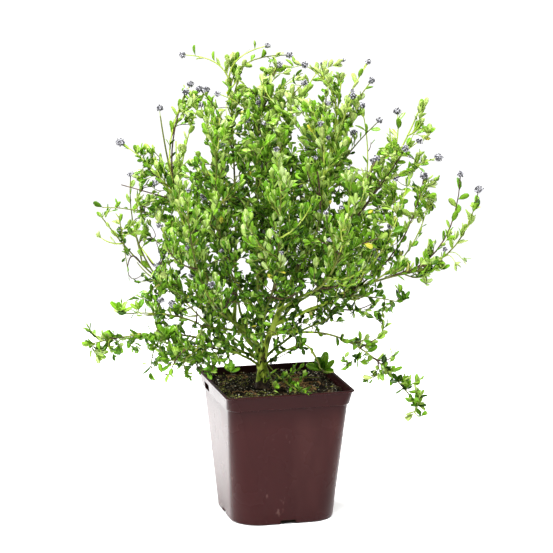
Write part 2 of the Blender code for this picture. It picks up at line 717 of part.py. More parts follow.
def build_mass(name, stem, long_shoots, space, materials):
    _, _, longest, flowering = MASSES[name]
    chance = random.Random(SEED * 1000 + list(MASSES).index(name))
    builder = MassBuilder(name, space, materials)
    wood = wood_of_stem(name, stem)
    stem_points, stem_faces = tube(wood, (BOUGHS[name][5] * MM, STEM_TIP_RADIUS), STEM_SIDES, STEM_RINGS)
    carrier = builder.note(stem_points, stem_faces)
    if wood is not stem:
        builder.add_leaf(tip_leaf_ways(wood), carrier)
    shoots = []
    for curve, (_, _, _, flower) in zip(long_shoots, LONG_SHOOTS.get(name, ())):
        shoots.append(builder.add_shoot(curve, flower, LONG_SHOOT_RINGS, carrier))
    for curve in side_shoot_curves(wood, longest, chance):
        share = space.fit(name, curve)
        flower = chance.random() < flowering
        if share:
            rings = SHORT_SHOOT_RINGS if share * curve.length() < SHORT_SHOOT_LENGTH else SHOOT_RINGS
            shoots.append(builder.add_shoot(curve.shortened(share), flower, rings, carrier))
    shoots = [shoot for shoot in shoots if shoot]
    for curve, flower, tree in shoots:
        if flower:
            builder.add_blossom(curve.end, tree)
        else:
            builder.add_leaf(tip_leaf_ways(curve), tree)
    for curve, _, tree in shoots:
        for ways in leaves_along(curve, FIRST_SHOOT_LEAF, LEAF_SPACING, chance):
            builder.add_leaf(ways, tree)
    for ways in leaves_along(wood, FIRST_STEM_LEAF, STEM_LEAF_SPACING, chance):
        builder.add_leaf(ways, carrier)
    return builder.join(stem_points, stem_faces), builder.leaves


def main():
    clear_scene()
    materials = {
        "pot": make_material("pot_plastic", (0.105, 0.030, 0.032), 0.42),
        "compost": make_material("compost", (0.028, 0.017, 0.011), 0.95),
        "bark": make_material("bark", (0.26, 0.29, 0.10), 0.75),
        "shoot": make_material("shoot", (0.22, 0.34, 0.06), 0.60),
        "leaf": make_material("leaf", (0.09, 0.25, 0.03), 0.45),
        "blossom": make_material("blossom", (0.34, 0.34, 0.50), 0.80),
    }
    build_pot(materials["pot"])
    build_compost(materials["compost"])
    build_trunk(materials["bark"])
    curves = bough_curves()
    build_boughs(curves, materials["bark"])
    limbs = [(curves["trunk"], (TRUNK_STOUTEST_FORK * MM, TRUNK_STOUTEST_FORK * MM))]
    for name, (_, _, _, _, root, tip) in BOUGHS.items():
        limbs.append((curves[name], (root * MM, tip * MM)))
    stems = {name: stem_curve(curves, name) for name in MASSES}
    shoots = {}
    for name, stem in stems.items():
        shoots[name] = [long_shoot_curve(stem, *row[:3]) for row in LONG_SHOOTS.get(name, ())]
    space = Space({name: [stems[name], *shoots[name]] for name in MASSES}, limbs)
    leaves = 0
    for name in MASSES:
        mass, count = build_mass(name, stems[name], shoots[name], space, materials)
        leaves += count
        print(mass.name, len(mass.data.polygons), "faces", count, "leaves")
    print(leaves, "leaves in all")


main()
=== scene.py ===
# A California lilac, a small-leaved flowering shrub, in its square nursery pot.
# The frame is the pot's, in metres: +Z up, the origin in the middle of the pot's flat underside.
# The plant is laid out from its own foot, in mm: right, back and up. That layout is turned in the pot
# by crownTurn, so its right and back are not quite the pot's X and Y.

import math
import random
import bpy
import numpy as np
from mathutils import Matrix, Vector


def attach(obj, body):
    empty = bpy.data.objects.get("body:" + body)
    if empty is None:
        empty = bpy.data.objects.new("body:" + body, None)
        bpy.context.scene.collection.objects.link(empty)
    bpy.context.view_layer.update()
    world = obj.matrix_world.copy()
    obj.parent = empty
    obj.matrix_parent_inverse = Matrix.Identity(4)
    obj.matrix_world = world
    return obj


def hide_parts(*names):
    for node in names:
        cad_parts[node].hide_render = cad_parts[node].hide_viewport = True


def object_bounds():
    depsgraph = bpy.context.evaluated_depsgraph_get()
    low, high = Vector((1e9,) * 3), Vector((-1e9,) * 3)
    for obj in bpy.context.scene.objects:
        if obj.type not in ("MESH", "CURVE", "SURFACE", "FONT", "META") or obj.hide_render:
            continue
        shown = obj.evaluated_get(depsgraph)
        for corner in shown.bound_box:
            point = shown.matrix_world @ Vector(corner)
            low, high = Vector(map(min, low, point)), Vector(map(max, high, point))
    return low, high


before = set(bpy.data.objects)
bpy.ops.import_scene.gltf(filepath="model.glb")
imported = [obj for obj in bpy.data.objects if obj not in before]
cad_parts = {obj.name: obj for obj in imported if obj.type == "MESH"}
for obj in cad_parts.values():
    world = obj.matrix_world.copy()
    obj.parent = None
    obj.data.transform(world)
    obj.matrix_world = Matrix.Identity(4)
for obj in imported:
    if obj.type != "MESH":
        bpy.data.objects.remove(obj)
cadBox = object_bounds()

mm = 0.001
up = Vector((0.0, 0.0, 1.0))
goldenAngle = math.radians(137.5)
seatGap = 0.3 * mm


# Meshes from whole arrays

# points: one row of x, y, z each. faceSets: arrays of point numbers, one row a face of 3 or 4 corners.
# kinds: for each face set, the number of its material. places: each point's place in its own leaf
def makePiece(name, points, faceSets, materials, kinds=None, smooth=True, places=None):
    points = np.ascontiguousarray(points, dtype=np.float32)
    loops = np.concatenate([np.asarray(f).ravel() for f in faceSets]).astype(np.int32)
    sizes = np.concatenate([np.full(len(f), np.asarray(f).shape[1]) for f in faceSets])
    kinds = kinds or [0] * len(faceSets)
    kindOfFace = np.concatenate([np.full(len(f), k) for f, k in zip(faceSets, kinds)]).astype(np.int32)
    mesh = bpy.data.meshes.new(name)
    mesh.vertices.add(len(points))
    mesh.vertices.foreach_set("co", points.ravel())
    mesh.loops.add(len(loops))
    mesh.loops.foreach_set("vertex_index", loops)
    mesh.polygons.add(len(sizes))
    mesh.polygons.foreach_set("loop_start", (np.cumsum(sizes) - sizes).astype(np.int32))
    for material in materials:
        mesh.materials.append(material)
    mesh.polygons.foreach_set("material_index", kindOfFace)
    mesh.polygons.foreach_set("use_smooth", np.full(len(sizes), smooth))
    if places is not None:
        layer = mesh.uv_layers.new(name="place")
        layer.uv.foreach_set("vector", np.asarray(places, dtype=np.float32)[loops].ravel())
    mesh.update(calc_edges=True)
    mesh.validate()
    piece = bpy.data.objects.new(name, mesh)
    bpy.context.scene.collection.objects.link(piece)
    return piece


# Several arrays of points and faces as one: each face's numbers move up by the points before it
def joined(parts):
    offsets = np.cumsum([0] + [len(points) for points, _ in parts[:-1]])
    faceSets = [faces + offset for (_, group), offset in zip(parts, offsets) for faces in group]
    return np.concatenate([points for points, _ in parts]), faceSets


# Each vector over its own length, or over a trace of one where it has none
def normalised(vectors):
    trace = 1e-12
    return vectors / np.maximum(np.linalg.norm(vectors, axis=-1, keepdims=True), trace)


# Quads between neighbouring points of a grid of rings: (k, i), (k, i+1), (k+1, i+1), (k+1, i), where i
# comes round to 0 again
def ringQuads(rings, sides):
    k, i = np.meshgrid(np.arange(rings - 1), np.arange(sides), indexing="ij")
    j = (i + 1) % sides
    below, above = k * sides, (k + 1) * sides
    return np.stack([below + i, below + j, above + j, above + i], -1).reshape(-1, 4)


# A fan of triangles from the point numbered middle to a ring that starts at the point numbered first
def fan(middle, first, sides, inwards=False):
    i = np.arange(sides)
    j = (i + 1) % sides
    edge = (first + j, first + i) if inwards else (first + i, first + j)
    return np.stack([np.full(sides, middle), *edge], -1)


# A closed form from rings of points, with a point in the middle of each end and a fan of faces to it
def closedRings(rings, foot, top):
    count, around = rings.shape[:2]
    last = count * around
    ends = [fan(last, 0, around, True), fan(last + 1, last - around, around)]
    return np.concatenate([rings.reshape(-1, 3), [foot, top]]), [ringQuads(count, around), *ends]


# Smooth noise from -1 to 1: random values on a lattice of cubes, blended by 6t^5 - 15t^4 + 10t^3 between
# its points
def smoothNoise(points, cell, seed):
    size = 32
    lattice = np.random.default_rng(seed).random((size, size, size)) * 2 - 1
    scaled = np.asarray(points) / cell
    base = np.floor(scaled).astype(int)
    t = scaled - base
    t = t**3 * (t * (6 * t - 15) + 10)
    total = 0
    for corner in ((x, y, z) for x in (0, 1) for y in (0, 1) for z in (0, 1)):
        weight = np.prod(np.where(np.array(corner) == 1, t, 1 - t), axis=-1)
        at = (base + corner) % size
        total = total + weight * lattice[at[..., 0], at[..., 1], at[..., 2]]
    return total


# The view

# Turn and rise in degrees, distance in metres, aim in mm, focal length and picture in pixels
viewPlan = {
    "azimuth": -14.5, "elevation": 11.9, "distance": 2.75, "aside": 1.4, "height": 238.2,
    "focal": 2798.0, "frame": 553.0, "sensor": 36.0,
    "clip": 200,
}


# The camera's place and its axes: right, above and back towards it
def viewAxes():
    plan = viewPlan
    turn, rise = math.radians(plan["azimuth"]), math.radians(plan["elevation"])
    back = Vector((math.sin(turn) * math.cos(rise), -math.cos(turn) * math.cos(rise), math.sin(rise)))
    right = Vector((math.cos(turn), math.sin(turn), 0))
    target = right * plan["aside"] * mm + up * plan["height"] * mm
    return target + back * plan["distance"], right, back.cross(right), back


# Materials

# A colour of full cover from its red, green and blue parts
def colour(red, green, blue):
    return (red, green, blue, 1.0)


# Nodes of a tree by name, from a kind for each, and links between their sockets, each written
# "node:socket > node:socket", where a socket is its name or its number
def addNodes(tree, kinds, links, **nodes):
    for title, kind in kinds.items():
        nodes[title] = tree.nodes.new("ShaderNode" + kind)
    for link in links:
        (start, out), (end, into) = (side.split(":") for side in link.split(" > "))
        out, into = (int(title) if title.isdigit() else title for title in (out, into))
        tree.links.new(nodes[start].outputs[out], nodes[end].inputs[into])
    return nodes


# A group of shader nodes: numbers go in by name and one result comes out
def makeGroup(name, numbers, result, kind, kinds, links):
    group = bpy.data.node_groups.new(name, "ShaderNodeTree")
    for title, value in numbers.items():
        socket = group.interface.new_socket(title, in_out="INPUT", socket_type="NodeSocketFloat")
        socket.default_value = value
    group.interface.new_socket(result, in_out="OUTPUT", socket_type=kind)
    given, out = (group.nodes.new("NodeGroup" + end) for end in ("Input", "Output"))
    return group, addNodes(group, kinds, links, given=given, out=out)


# A mask from noise: the noise at Scale, stretched by Stretch along z, spread out between Low and High
def makeMottle():
    numbers = {"Scale": 50.0, "Stretch": 1.0, "Detail": 3.0, "Low": 0.35, "High": 0.65}
    kinds = {"place": "TexCoord", "split": "SeparateXYZ", "stretch": "Math", "join": "CombineXYZ",
             "noise": "TexNoise", "spread": "MapRange"}
    group, nodes = makeGroup("mottle", numbers, "Mask", "NodeSocketFloat", kinds, (
        "place:Object > split:0", "split:Z > stretch:0", "given:Stretch > stretch:1", "split:X > join:X",
        "split:Y > join:Y", "stretch:0 > join:Z", "join:0 > noise:Vector", "given:Scale > noise:Scale",
        "given:Detail > noise:Detail", "noise:Fac > spread:Value", "given:Low > spread:From Min",
        "given:High > spread:From Max", "spread:0 > out:Mask"))
    nodes["stretch"].operation = "DIVIDE"
    return group


# A normal roughened by fine noise: bumps of Depth times Strength
def makeGrain():
    numbers = {"Scale": 400.0, "Strength": 0.3, "Depth": 0.0004}
    kinds = {"place": "TexCoord", "noise": "TexNoise", "bump": "Bump"}
    group, nodes = makeGroup("grain", numbers, "Normal", "NodeSocketVector", kinds, (
        "place:Object > noise:Vector", "given:Scale > noise:Scale", "noise:Fac > bump:Height",
        "given:Strength > bump:Strength", "given:Depth > bump:Distance", "bump:Normal > out:Normal"))
    nodes["noise"].inputs["Detail"].default_value = 4.0
    return group


# A mask of a leaf's pale midrib and its edge from the leaf's own places: 1 within Rib of the middle line,
# and up to the given edge share beyond the margin's start. The lighter edge is a painted highlight of the
# curled margin
def makeRibsAndSheen():
    kinds = {"place": "UVMap", "split": "SeparateXYZ", "centred": "Math", "away": "Math",
             "rib": "MapRange", "edge": "MapRange", "most": "Math"}
    group, nodes = makeGroup("ribsAndSheen", {"Rib": 0.1, "Edge": 0.5}, "Mask", "NodeSocketFloat", kinds, (
        "place:UV > split:0", "split:X > centred:0", "centred:0 > away:0", "away:0 > rib:Value",
        "given:Rib > rib:From Max", "away:0 > edge:Value", "given:Edge > edge:To Max", "rib:0 > most:0",
        "edge:0 > most:1", "most:0 > out:Mask"))
    for title, operation in (("centred", "SUBTRACT"), ("away", "ABSOLUTE"), ("most", "MAXIMUM")):
        nodes[title].operation = operation
    nodes["place"].uv_map = "place"
    nodes["centred"].inputs[1].default_value = 0.5
    for title, socket, value in (("rib", "From Min", 0.0), ("rib", "To Min", 1.0), ("rib", "To Max", 0.0),
                                 ("edge", "From Min", 0.4), ("edge", "From Max", 0.5)):
        nodes[title].inputs[socket].default_value = value
    return group


mottleGroup = makeMottle()
grainGroup = makeGrain()
ribsAndSheenGroup = makeRibsAndSheen()


# A node of a group, with values set on its inputs by name
def useGroup(nodes, group, **values):
    node = nodes.new("ShaderNodeGroup")
    node.node_tree = group
    for title, value in values.items():
        node.inputs[title].default_value = value
    return node


# A mix of two colours by a mask. Either may be a colour or another node's output
def mixColours(tree, mask, first, second):
    mix = tree.nodes.new("ShaderNodeMix")
    mix.data_type = "RGBA"
    tree.links.new(mask, mix.inputs["Factor"])
    for title, value in (("A", first), ("B", second)):
        socket = [s for s in mix.inputs if s.name == title and s.type == "RGBA"][0]
        if isinstance(value, tuple):
            socket.default_value = value
        else:
            tree.links.new(value, socket)
    return [s for s in mix.outputs if s.type == "RGBA"][0]


# A natural surface. look holds its base colour, patches of other colours laid over it one by one
# (each a colour, a scale, a stretch and where its mask starts and ends), roughness and grain. The pot's
# look also has a painted shade: a darker colour above a height, and where that starts and ends. A leaf's
# has the colour of its pale midrib and of its edge, and the lighter edge is a painted highlight
def naturalMaterial(name, look):
    material = bpy.data.materials.new(name)
    material.use_nodes = True
    tree = material.node_tree
    shader = tree.nodes["Principled BSDF"]
    shown = look["base"]
    for patch, scale, stretch, low, high in look["patches"]:
        mask = useGroup(tree.nodes, mottleGroup, Scale=scale, Stretch=stretch, Low=low, High=high)
        shown = mixColours(tree, mask.outputs["Mask"], shown, patch)
    # painted shade: the pot is darker from just under the collar up to the rim
    if "rise" in look:
        above, low, high = look["rise"]
        kinds = {"place": "TexCoord", "split": "SeparateXYZ", "rise": "MapRange"}
        rise = addNodes(tree, kinds, ("place:Object > split:0", "split:Z > rise:Value"))["rise"]
        rise.inputs["From Min"].default_value, rise.inputs["From Max"].default_value = low, high
        shown = mixColours(tree, rise.outputs[0], shown, above)
    if "ribsAndSheen" in look:
        ribsAndSheen = useGroup(tree.nodes, ribsAndSheenGroup)
        shown = mixColours(tree, ribsAndSheen.outputs["Mask"], shown, look["ribsAndSheen"])
    tree.links.new(shown, shader.inputs["Base Color"])
    rough = useGroup(tree.nodes, mottleGroup, Scale=look["roughScale"], Low=0.3, High=0.7)
    spread = tree.nodes.new("ShaderNodeMapRange")
    spread.inputs["To Min"].default_value, spread.inputs["To Max"].default_value = look["roughness"]
    tree.links.new(rough.outputs["Mask"], spread.inputs["Value"])
    tree.links.new(spread.outputs[0], shader.inputs["Roughness"])
    grain = useGroup(tree.nodes, grainGroup, Scale=look["grainScale"], Strength=look["grain"],
                     Depth=look["grainDepth"])
    tree.links.new(grain.outputs["Normal"], shader.inputs["Normal"])
    shader.inputs["Specular IOR Level"].default_value = look["shine"]
    return material


# The pot

# Sizes in mm. The walls' waves are noise in cells of waveCell, drawn out up the pot. They begin above
# waveFoot over a rise, and end below the collar
potPlan = {
    "height": 134, "rimSide": 130, "rimCorner": 7, "collarTopSide": 127, "collarFootSide": 124,
    "bodyTopSide": 121, "bodyTopCorner": 12, "footSide": 104, "footCorner": 29, "footRounding": 1.6,
    "collarHeight": 15, "lipHeight": 2, "wall": 1.4,
    "cornerSteps": 16, "sideSteps": 12, "bodyRows": 30, "fillet": 0.55, "waviness": 0.16,
    "drainWidth": 16, "drainHeight": 4.5, "drainDepth": 9,
    "slotLength": 18, "slotHeight": 7, "slotBelowRim": 7, "slotFromMiddle": 30, "slotDepth": 8,
    "waveCell": 26.0, "waveStretch": 0.35, "waveFoot": (3, 20), "waveTop": 8, "sharpFrom": 40,
}
potLook = {
    "base": colour(0.032, 0.0064, 0.0066),
    "patches": [
        (colour(0.023, 0.0046, 0.0048), 11.0, 2.2, 0.36, 0.76),
        (colour(0.056, 0.018, 0.0165), 22.0, 4.5, 0.5, 0.86),
        (colour(0.11, 0.058, 0.052), 160.0, 1.6, 0.68, 0.88),
    ],
    "roughness": (0.25, 0.29), "roughScale": 24.0, "grainScale": 900.0, "grain": 0.05,
    # rise: a painted shade, darker from under the collar to the rim, where the collar shades the wall
    "grainDepth": 0.0003, "shine": 0.09, "rise": (colour(0.0215, 0.004, 0.0042), 0.098, 0.118),
}


# Points round a square with round corners: flat * (side / 2 - corner) + round * corner. flat runs along
# each side from one corner to the next while round stays square to it, and the other way at a corner
def squareRound(cornerSteps, sideSteps):
    flats, rounds = [], []
    corners = np.array(((1, 1), (-1, 1), (-1, -1), (1, -1)), dtype=float)
    for quarter in range(4):
        turns = math.pi / 2 * (quarter + np.arange(cornerSteps) / cornerSteps)
        flats.append(np.repeat(corners[quarter][None], cornerSteps, 0))
        rounds.append(np.stack([np.cos(turns), np.sin(turns)], -1))
        way = math.pi / 2 * (quarter + 1)
        shares = (np.arange(sideSteps) / sideSteps)[:, None]
        flats.append(corners[quarter] * (1 - shares) + corners[(quarter + 1) % 4] * shares)
        rounds.append(np.repeat([[math.cos(way), math.sin(way)]], sideSteps, 0))
    return np.concatenate(flats), np.concatenate(rounds)


# A row of knots (side, corner, height) with every inner knot rounded by an arc of the fillet's reach, as
# the quadratic curve from one leg to the other
def filleted(knots, reach, steps=4):
    knots = np.array(knots, dtype=float)
    rows = [knots[:1]]
    for before, knot, after in zip(knots, knots[1:], knots[2:]):
        legs = [end - knot for end in (before, after)]
        sizes = [math.hypot(leg[0] / 2, leg[2]) for leg in legs]
        start, end = (knot + leg * min(0.45, reach / size) for leg, size in zip(legs, sizes))
        share = np.linspace(0, 1, steps + 1)[:, None]
        rows.append(start * (1 - share) ** 2 + knot * 2 * share * (1 - share) + end * share**2)
    rows.append(knots[-1:])
    return np.concatenate(rows)


# The side and the corner's radius of the pot's body at a height: both run evenly from foot to collar
def bodySide(height):
    share = height / (potPlan["height"] - potPlan["collarHeight"])
    side = potPlan["footSide"] + (potPlan["bodyTopSide"] - potPlan["footSide"]) * share
    corner = potPlan["footCorner"] + (potPlan["bodyTopCorner"] - potPlan["footCorner"]) * share
    return side, corner


# Rings carried round the square plan: each row of the profile is a side, a corner radius and a height
def squareRings(rows, flats, rounds):
    leastCorner = 0.01
    side, corner, height = (rows[:, k, None, None] for k in range(3))
    plan = flats * (side / 2 - corner) + rounds * np.maximum(corner, leastCorner)
    return np.concatenate([plan, np.broadcast_to(height, (*plan.shape[:2], 1))], -1)


# A closed box from its middle and its size, for cutting
def cutterBox(middle, size):
    signs = np.array([(x, y, z) for x in (-1, 1) for y in (-1, 1) for z in (-1, 1)], dtype=float)
    faces = np.array([(0, 1, 3, 2), (4, 6, 7, 5), (0, 4, 5, 1), (2, 3, 7, 6), (0, 2, 6, 4), (1, 5, 7, 3)])
    return makePiece("cutter", (np.array(middle) + signs * np.array(size) / 2) * mm, [faces], [])


# The piece less what lies inside the cutter, which is then removed
def cutOut(piece, cutter):
    modifier = piece.modifiers.new("cut", "BOOLEAN")
    modifier.operation = "DIFFERENCE"
    modifier.solver = "EXACT"
    modifier.object = cutter
    bpy.context.view_layer.objects.active = piece
    bpy.ops.object.modifier_apply(modifier=modifier.name)
    bpy.data.objects.remove(cutter)


# The pot is one closed profile carried round the square: out from the middle of the foot, up the
# outside, over the rim and down the inside. Its walls waver a little, as thin moulded plastic does
def makePot():
    plan = potPlan
    collarFoot = plan["height"] - plan["collarHeight"]
    lipFoot = plan["height"] - plan["lipHeight"]
    wall = plan["wall"]
    foot = plan["footSide"] - 2 * plan["footRounding"]
    footCorner = plan["footCorner"] - plan["footRounding"]
    body = [(*bodySide(h), h) for h in np.linspace(plan["footRounding"], collarFoot, plan["bodyRows"])]
    outside = [(foot * 0.5, footCorner * 0.5, 0.0), (foot, footCorner, 0.0)] + body + [
        (plan["collarFootSide"], plan["bodyTopCorner"], collarFoot + wall / 2),
        (plan["collarTopSide"], plan["rimCorner"], lipFoot),
        (plan["rimSide"], plan["rimCorner"], lipFoot + wall / 2),
        (plan["rimSide"], plan["rimCorner"], plan["height"]),
        (plan["collarTopSide"] - 2 * wall, plan["rimCorner"] - wall, plan["height"]),
        (plan["collarFootSide"] - 2 * wall, plan["bodyTopCorner"] - wall, collarFoot + wall),
        (plan["bodyTopSide"] - 2 * wall, plan["bodyTopCorner"] - wall, collarFoot),
    ]
    side, corner = bodySide(wall)
    outside += [(side - 2 * wall, corner - wall, wall), ((side - 2 * wall) * 0.5, corner * 0.5, wall)]
    rows = filleted(outside, plan["fillet"])
    flats, rounds = squareRound(plan["cornerSteps"], plan["sideSteps"])
    rings = squareRings(rows, flats, rounds)
    drawnOut = rings * np.array([1, 1, plan["waveStretch"]])
    wave = smoothNoise(drawnOut, plan["waveCell"], seed=3) * plan["waviness"]
    start, rise = plan["waveFoot"]
    bodyOnly = np.clip((rings[..., 2] - start) / rise, 0, 1)
    bodyOnly = bodyOnly * np.clip((collarFoot - rings[..., 2]) / plan["waveTop"], 0, 1)
    rings[..., :2] += rounds * (wave * bodyOnly)[..., None]
    points, faceSets = closedRings(rings * mm, (0, 0, 0), (0, 0, wall * mm))
    pot = makePiece("potShell", points, faceSets, [naturalMaterial("potPlastic", potLook)])
    for turn in range(4):
        way = np.array(Matrix.Rotation(turn * math.pi / 2, 3, "Z"))
        middle = way @ np.array((0, -plan["footSide"] / 2, 0))
        size = np.abs(way @ np.array((plan["drainWidth"], 2 * plan["drainDepth"], 2 * plan["drainHeight"])))
        cutOut(pot, cutterBox(middle, size))
    slotHeight = plan["height"] - plan["slotBelowRim"] - plan["slotHeight"] / 2
    cutOut(pot, cutterBox((-plan["collarTopSide"] / 2, plan["slotFromMiddle"], slotHeight),
                          (plan["slotDepth"], plan["slotLength"], plan["slotHeight"])))
    pot.data.shade_smooth()
    pot.data.set_sharp_from_angle(angle=math.radians(plan["sharpFrom"]))
    return pot


potShell = makePot()
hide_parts("pot")
print("pot:", len(potShell.data.polygons), "faces")


# The plant's layout

# Where the plant's foot stands in the pot, how far below the rim, and how the layout is turned
standPlan = {"foot": (-13.8, -1.5), "belowRim": 7, "turn": -14.5}
standHeight = potPlan["height"] - standPlan["belowRim"]
footPlace = Vector([part * mm for part in (*standPlan["foot"], standHeight)])
crownTurn = math.radians(standPlan["turn"])

# The trunk's profile is its heights and radii. Its root lobes twist a little as they go round
trunkPlan = {
    "profile": ((0, 8.0), (2.5, 6.6), (7, 5.7), (16, 5.1), (26, 5.0), (35, 5.3), (41, 4.8), (44, 3.2),
                (46, 1.4)),
    "lean": (1.2, 0.4), "bend": (-0.8, 0.3), "stoutestFork": 5.6,
    "rootLobes": 5, "lobeShare": 0.16, "lobeFade": 5, "lobeTwist": 0.6, "tipRise": 0.6,
    "rings": 150, "sides": 72, "smoothRings": 6, "smoothWidth": 3.0,
}
# Boughs: the limb each leaves, where along it, its tip, how far it bows up for its length, and its
# radius at its root and at its tip
boughs = {
    "left": ("trunk", 0.68, (-37, -4, 81), -0.06, 2.5, 1.6),
    "right": ("trunk", 0.72, (33, 4, 116), 0.05, 3.0, 2.0),
    "centre": ("trunk", 0.86, (-3, 6, 89), 0.0, 2.0, 1.5),
    "low_left": ("trunk", 0.56, (-55, -14, 52), 0.1, 1.7, 1.2),
    "low_front_left": ("trunk", 0.44, (-42, -44, 49), 0.12, 1.4, 1.0),
    "low_front_right": ("trunk", 0.42, (33, -34, 50), 0.1, 1.2, 0.9),
    "basal": ("trunk", 0.3, (10, -8, 15), 0.2, 0.9, 0.8),
    "low_back_left": ("trunk", 0.52, (-49, 66, 45), 0.12, 1.5, 1.0),
    "low_back_right": ("trunk", 0.6, (60, 62, 52), 0.12, 1.5, 1.0),
    "back_left": ("trunk", 0.8, (-40, 50, 65), 0.1, 1.7, 1.2),
    "front_left": ("trunk", 0.84, (-33, -44, 80), 0.1, 1.7, 1.2),
    "reach_left": ("left", 0.52, (-56, -34, 69), 0.04, 1.5, 1.0),
    "mid_left": ("left", 0.84, (-56, 12, 79), 0.1, 1.5, 1.1),
    "top_left": ("left", 0.7, (-26, 16, 115), -0.05, 1.7, 1.3),
    "low_right": ("right", 0.24, (51, -26, 62), 0.06, 1.6, 1.1),
    "mid_right": ("right", 0.36, (65, -14, 90), -0.02, 2.0, 1.3),
    "back_right": ("right", 0.3, (46, 54, 81), 0.1, 1.7, 1.2),
    "front_right": ("right", 0.48, (49, -46, 107), 0.1, 1.7, 1.2),
    "high_right": ("right", 0.82, (71, 26, 141), -0.05, 1.8, 1.4),
    "front": ("centre", 0.35, (8, -44, 98), 0.12, 1.5, 1.1),
    "back": ("centre", 0.3, (0, 50, 86), 0.12, 1.6, 1.1),
    "upper_front_left": ("centre", 0.58, (-20, -25, 104), 0.05, 1.5, 1.1),
    "upper_front_right": ("right", 0.64, (40, -24, 130), 0.05, 1.5, 1.1),
    "upper_back_left": ("left", 0.4, (-30, 34, 98), 0.08, 1.5, 1.1),
    "upper_back_right": ("centre", 0.66, (22, 32, 112), 0.05, 1.4, 1.1),
}
# Masses: the tip of the stem that goes on from the bough, how far it bows up, the length of its longest
# side shoots, and the share of shoots that end in flower
masses = {
    "left": ((-99, -12, 283), 0.06, 53, 0.15),
    "right": ((78, 8, 313), 0.05, 53, 0.17),
    "centre": ((2, -4, 311), 0.02, 51, 0.15),
    "low_left": ((-174, -34, 50), 0.03, 30, 0.0),
    "low_front_left": ((-81, -92, 58), 0.1, 34, 0.05),
    "low_front_right": ((60, -52, 19), 0.25, 23, 0.0),
    "basal": ((44, -68, 12), 0.02, 16, 0.0),
    "low_back_left": ((-133, 118, 130), 0.12, 46, 0.07),
    "low_back_right": ((144, 112, 141), 0.12, 46, 0.07),
    "back_left": ((-87, 104, 243), 0.1, 53, 0.12),
    "front_left": ((-70, -104, 230), 0.1, 53, 0.12),
    "reach_left": ((-140, -62, 88), 0.2, 34, 0.05),
    "mid_left": ((-164, 22, 176), 0.08, 46, 0.07),
    "top_left": ((-32, 20, 308), 0.04, 48, 0.1),
    "low_right": ((156, -66, -9), 0.02, 28, 0.0),
    "mid_right": ((175, -30, 127), 0.04, 39, 0.05),
    "back_right": ((123, 108, 228), 0.1, 53, 0.12),
    "front_right": ((85, -100, 235), 0.08, 51, 0.12),
    "high_right": ((158, 26, 283), -0.06, 46, 0.12),
    "front": ((19, -112, 256), 0.1, 53, 0.12),
    "back": ((28, 104, 272), 0.08, 53, 0.12),
    "upper_front_left": ((-38, -58, 290), 0.03, 44, 0.15),
    "upper_front_right": ((56, -54, 292), 0.03, 44, 0.15),
    "upper_back_left": ((-50, 62, 288), 0.03, 44, 0.15),
    "upper_back_right": ((64, 66, 290), 0.03, 44, 0.15),
}
# Long shoots that stand out of a mass: where along its stem, the tip, the bow, and a flower or none
longShoots = {
    "top_left": ((0.97, (-75, 14, 329), 0.1, 1), (0.99, (4, 26, 336), 0.1, 1),
                 (0.93, (25, 36, 326), 0.16, 1)),
    "left": ((0.5, (-134, -24, 248), 0.05, 1), (0.6, (-101, -40, 213), 0.0, 1),
             (0.72, (-70, 10, 299), 0.05, 1)),
    "mid_left": ((0.62, (-133, 6, 110), 0.5, 0), (0.45, (-129, 24, 208), 0.05, 1)),
    "low_left": ((0.35, (-98, -50, 98), -0.1, 1), (0.3, (-107, -44, 15), 0.2, 0)),
    "low_front_left": ((0.55, (-90, -84, 25), 0.3, 0),),
    "mid_right": ((0.7, (192, -22, 216), -0.12, 1), (0.78, (208, -42, 204), -0.12, 1),
                  (0.1, (138, -40, 94), -0.1, 0)),
    "low_right": ((0.3, (108, -30, 63), -0.1, 0), (0.55, (129, -80, 57), -0.05, 0)),
    "high_right": ((0.45, (170, 0, 230), -0.12, 1), (0.55, (134, 50, 266), -0.08, 1)),
    "right": ((0.72, (103, 24, 319), -0.05, 1), (0.8, (43, -14, 322), 0.1, 1),
              (0.6, (105, -10, 306), -0.05, 1)),
    "centre": ((0.8, (16, -20, 323), 0.05, 1), (0.75, (-41, -16, 295), 0.06, 1)),
    "back": ((0.8, (60, 110, 305), 0.05, 1),),
    "back_left": ((0.7, (-57, 96, 281), 0.05, 1),),
    "back_right": ((0.7, (100, 96, 265), 0.0, 1),),
}
# Finer long shoots between them, in the same form
fineShoots = {
    "mid_right": ((0.2, (157, -12, 212), -0.12, 1), (0.38, (163, 10, 182), -0.1, 0),
                  (0.05, (141, -30, 215), -0.1, 0), (0.55, (174, -34, 134), 0.05, 0)),
    "high_right": ((0.15, (139, 10, 236), 0.0, 1), (0.1, (118, -20, 216), 0.0, 0)),
    "back_right": ((0.45, (142, 60, 163), 0.0, 0), (0.7, (156, 80, 233), 0.0, 1)),
    "front_right": ((0.4, (121, -70, 166), 0.05, 0), (0.6, (108, -84, 242), 0.0, 1)),
    "right": ((0.5, (87, -20, 292), 0.0, 1), (0.35, (114, 30, 261), 0.0, 1)),
    "centre": ((0.6, (40, -30, 307), 0.0, 1),),
    "top_left": ((0.6, (-59, -10, 298), 0.0, 1), (0.8, (-15, 0, 324), 0.0, 0)),
    "left": ((0.35, (-108, -20, 241), 0.0, 0), (0.66, (-74, 0, 293), 0.06, 1),
             (0.33, (-166, 10, 179), 0.06, 0)),
    "low_left": ((0.45, (-108, -40, 58), -0.1, 0), (0.75, (-153, -34, 64), -0.1, 0)),
    "reach_left": ((0.5, (-120, -70, 88), 0.0, 0),),
}
# How many of the usual twigs the open sprays round the crown carry
openSprays = {
    "mid_left": 0.35, "low_left": 0.45, "low_right": 0.5, "reach_left": 0.6, "low_front_left": 0.8,
    "high_right": 0.5, "back_right": 0.6, "left": 0.7, "back_left": 0.6, "right": 0.8, "top_left": 0.55,
}
# Stems that end bare under a flower head: where along them their leaves stop
bareTips = {"left": 0.78}
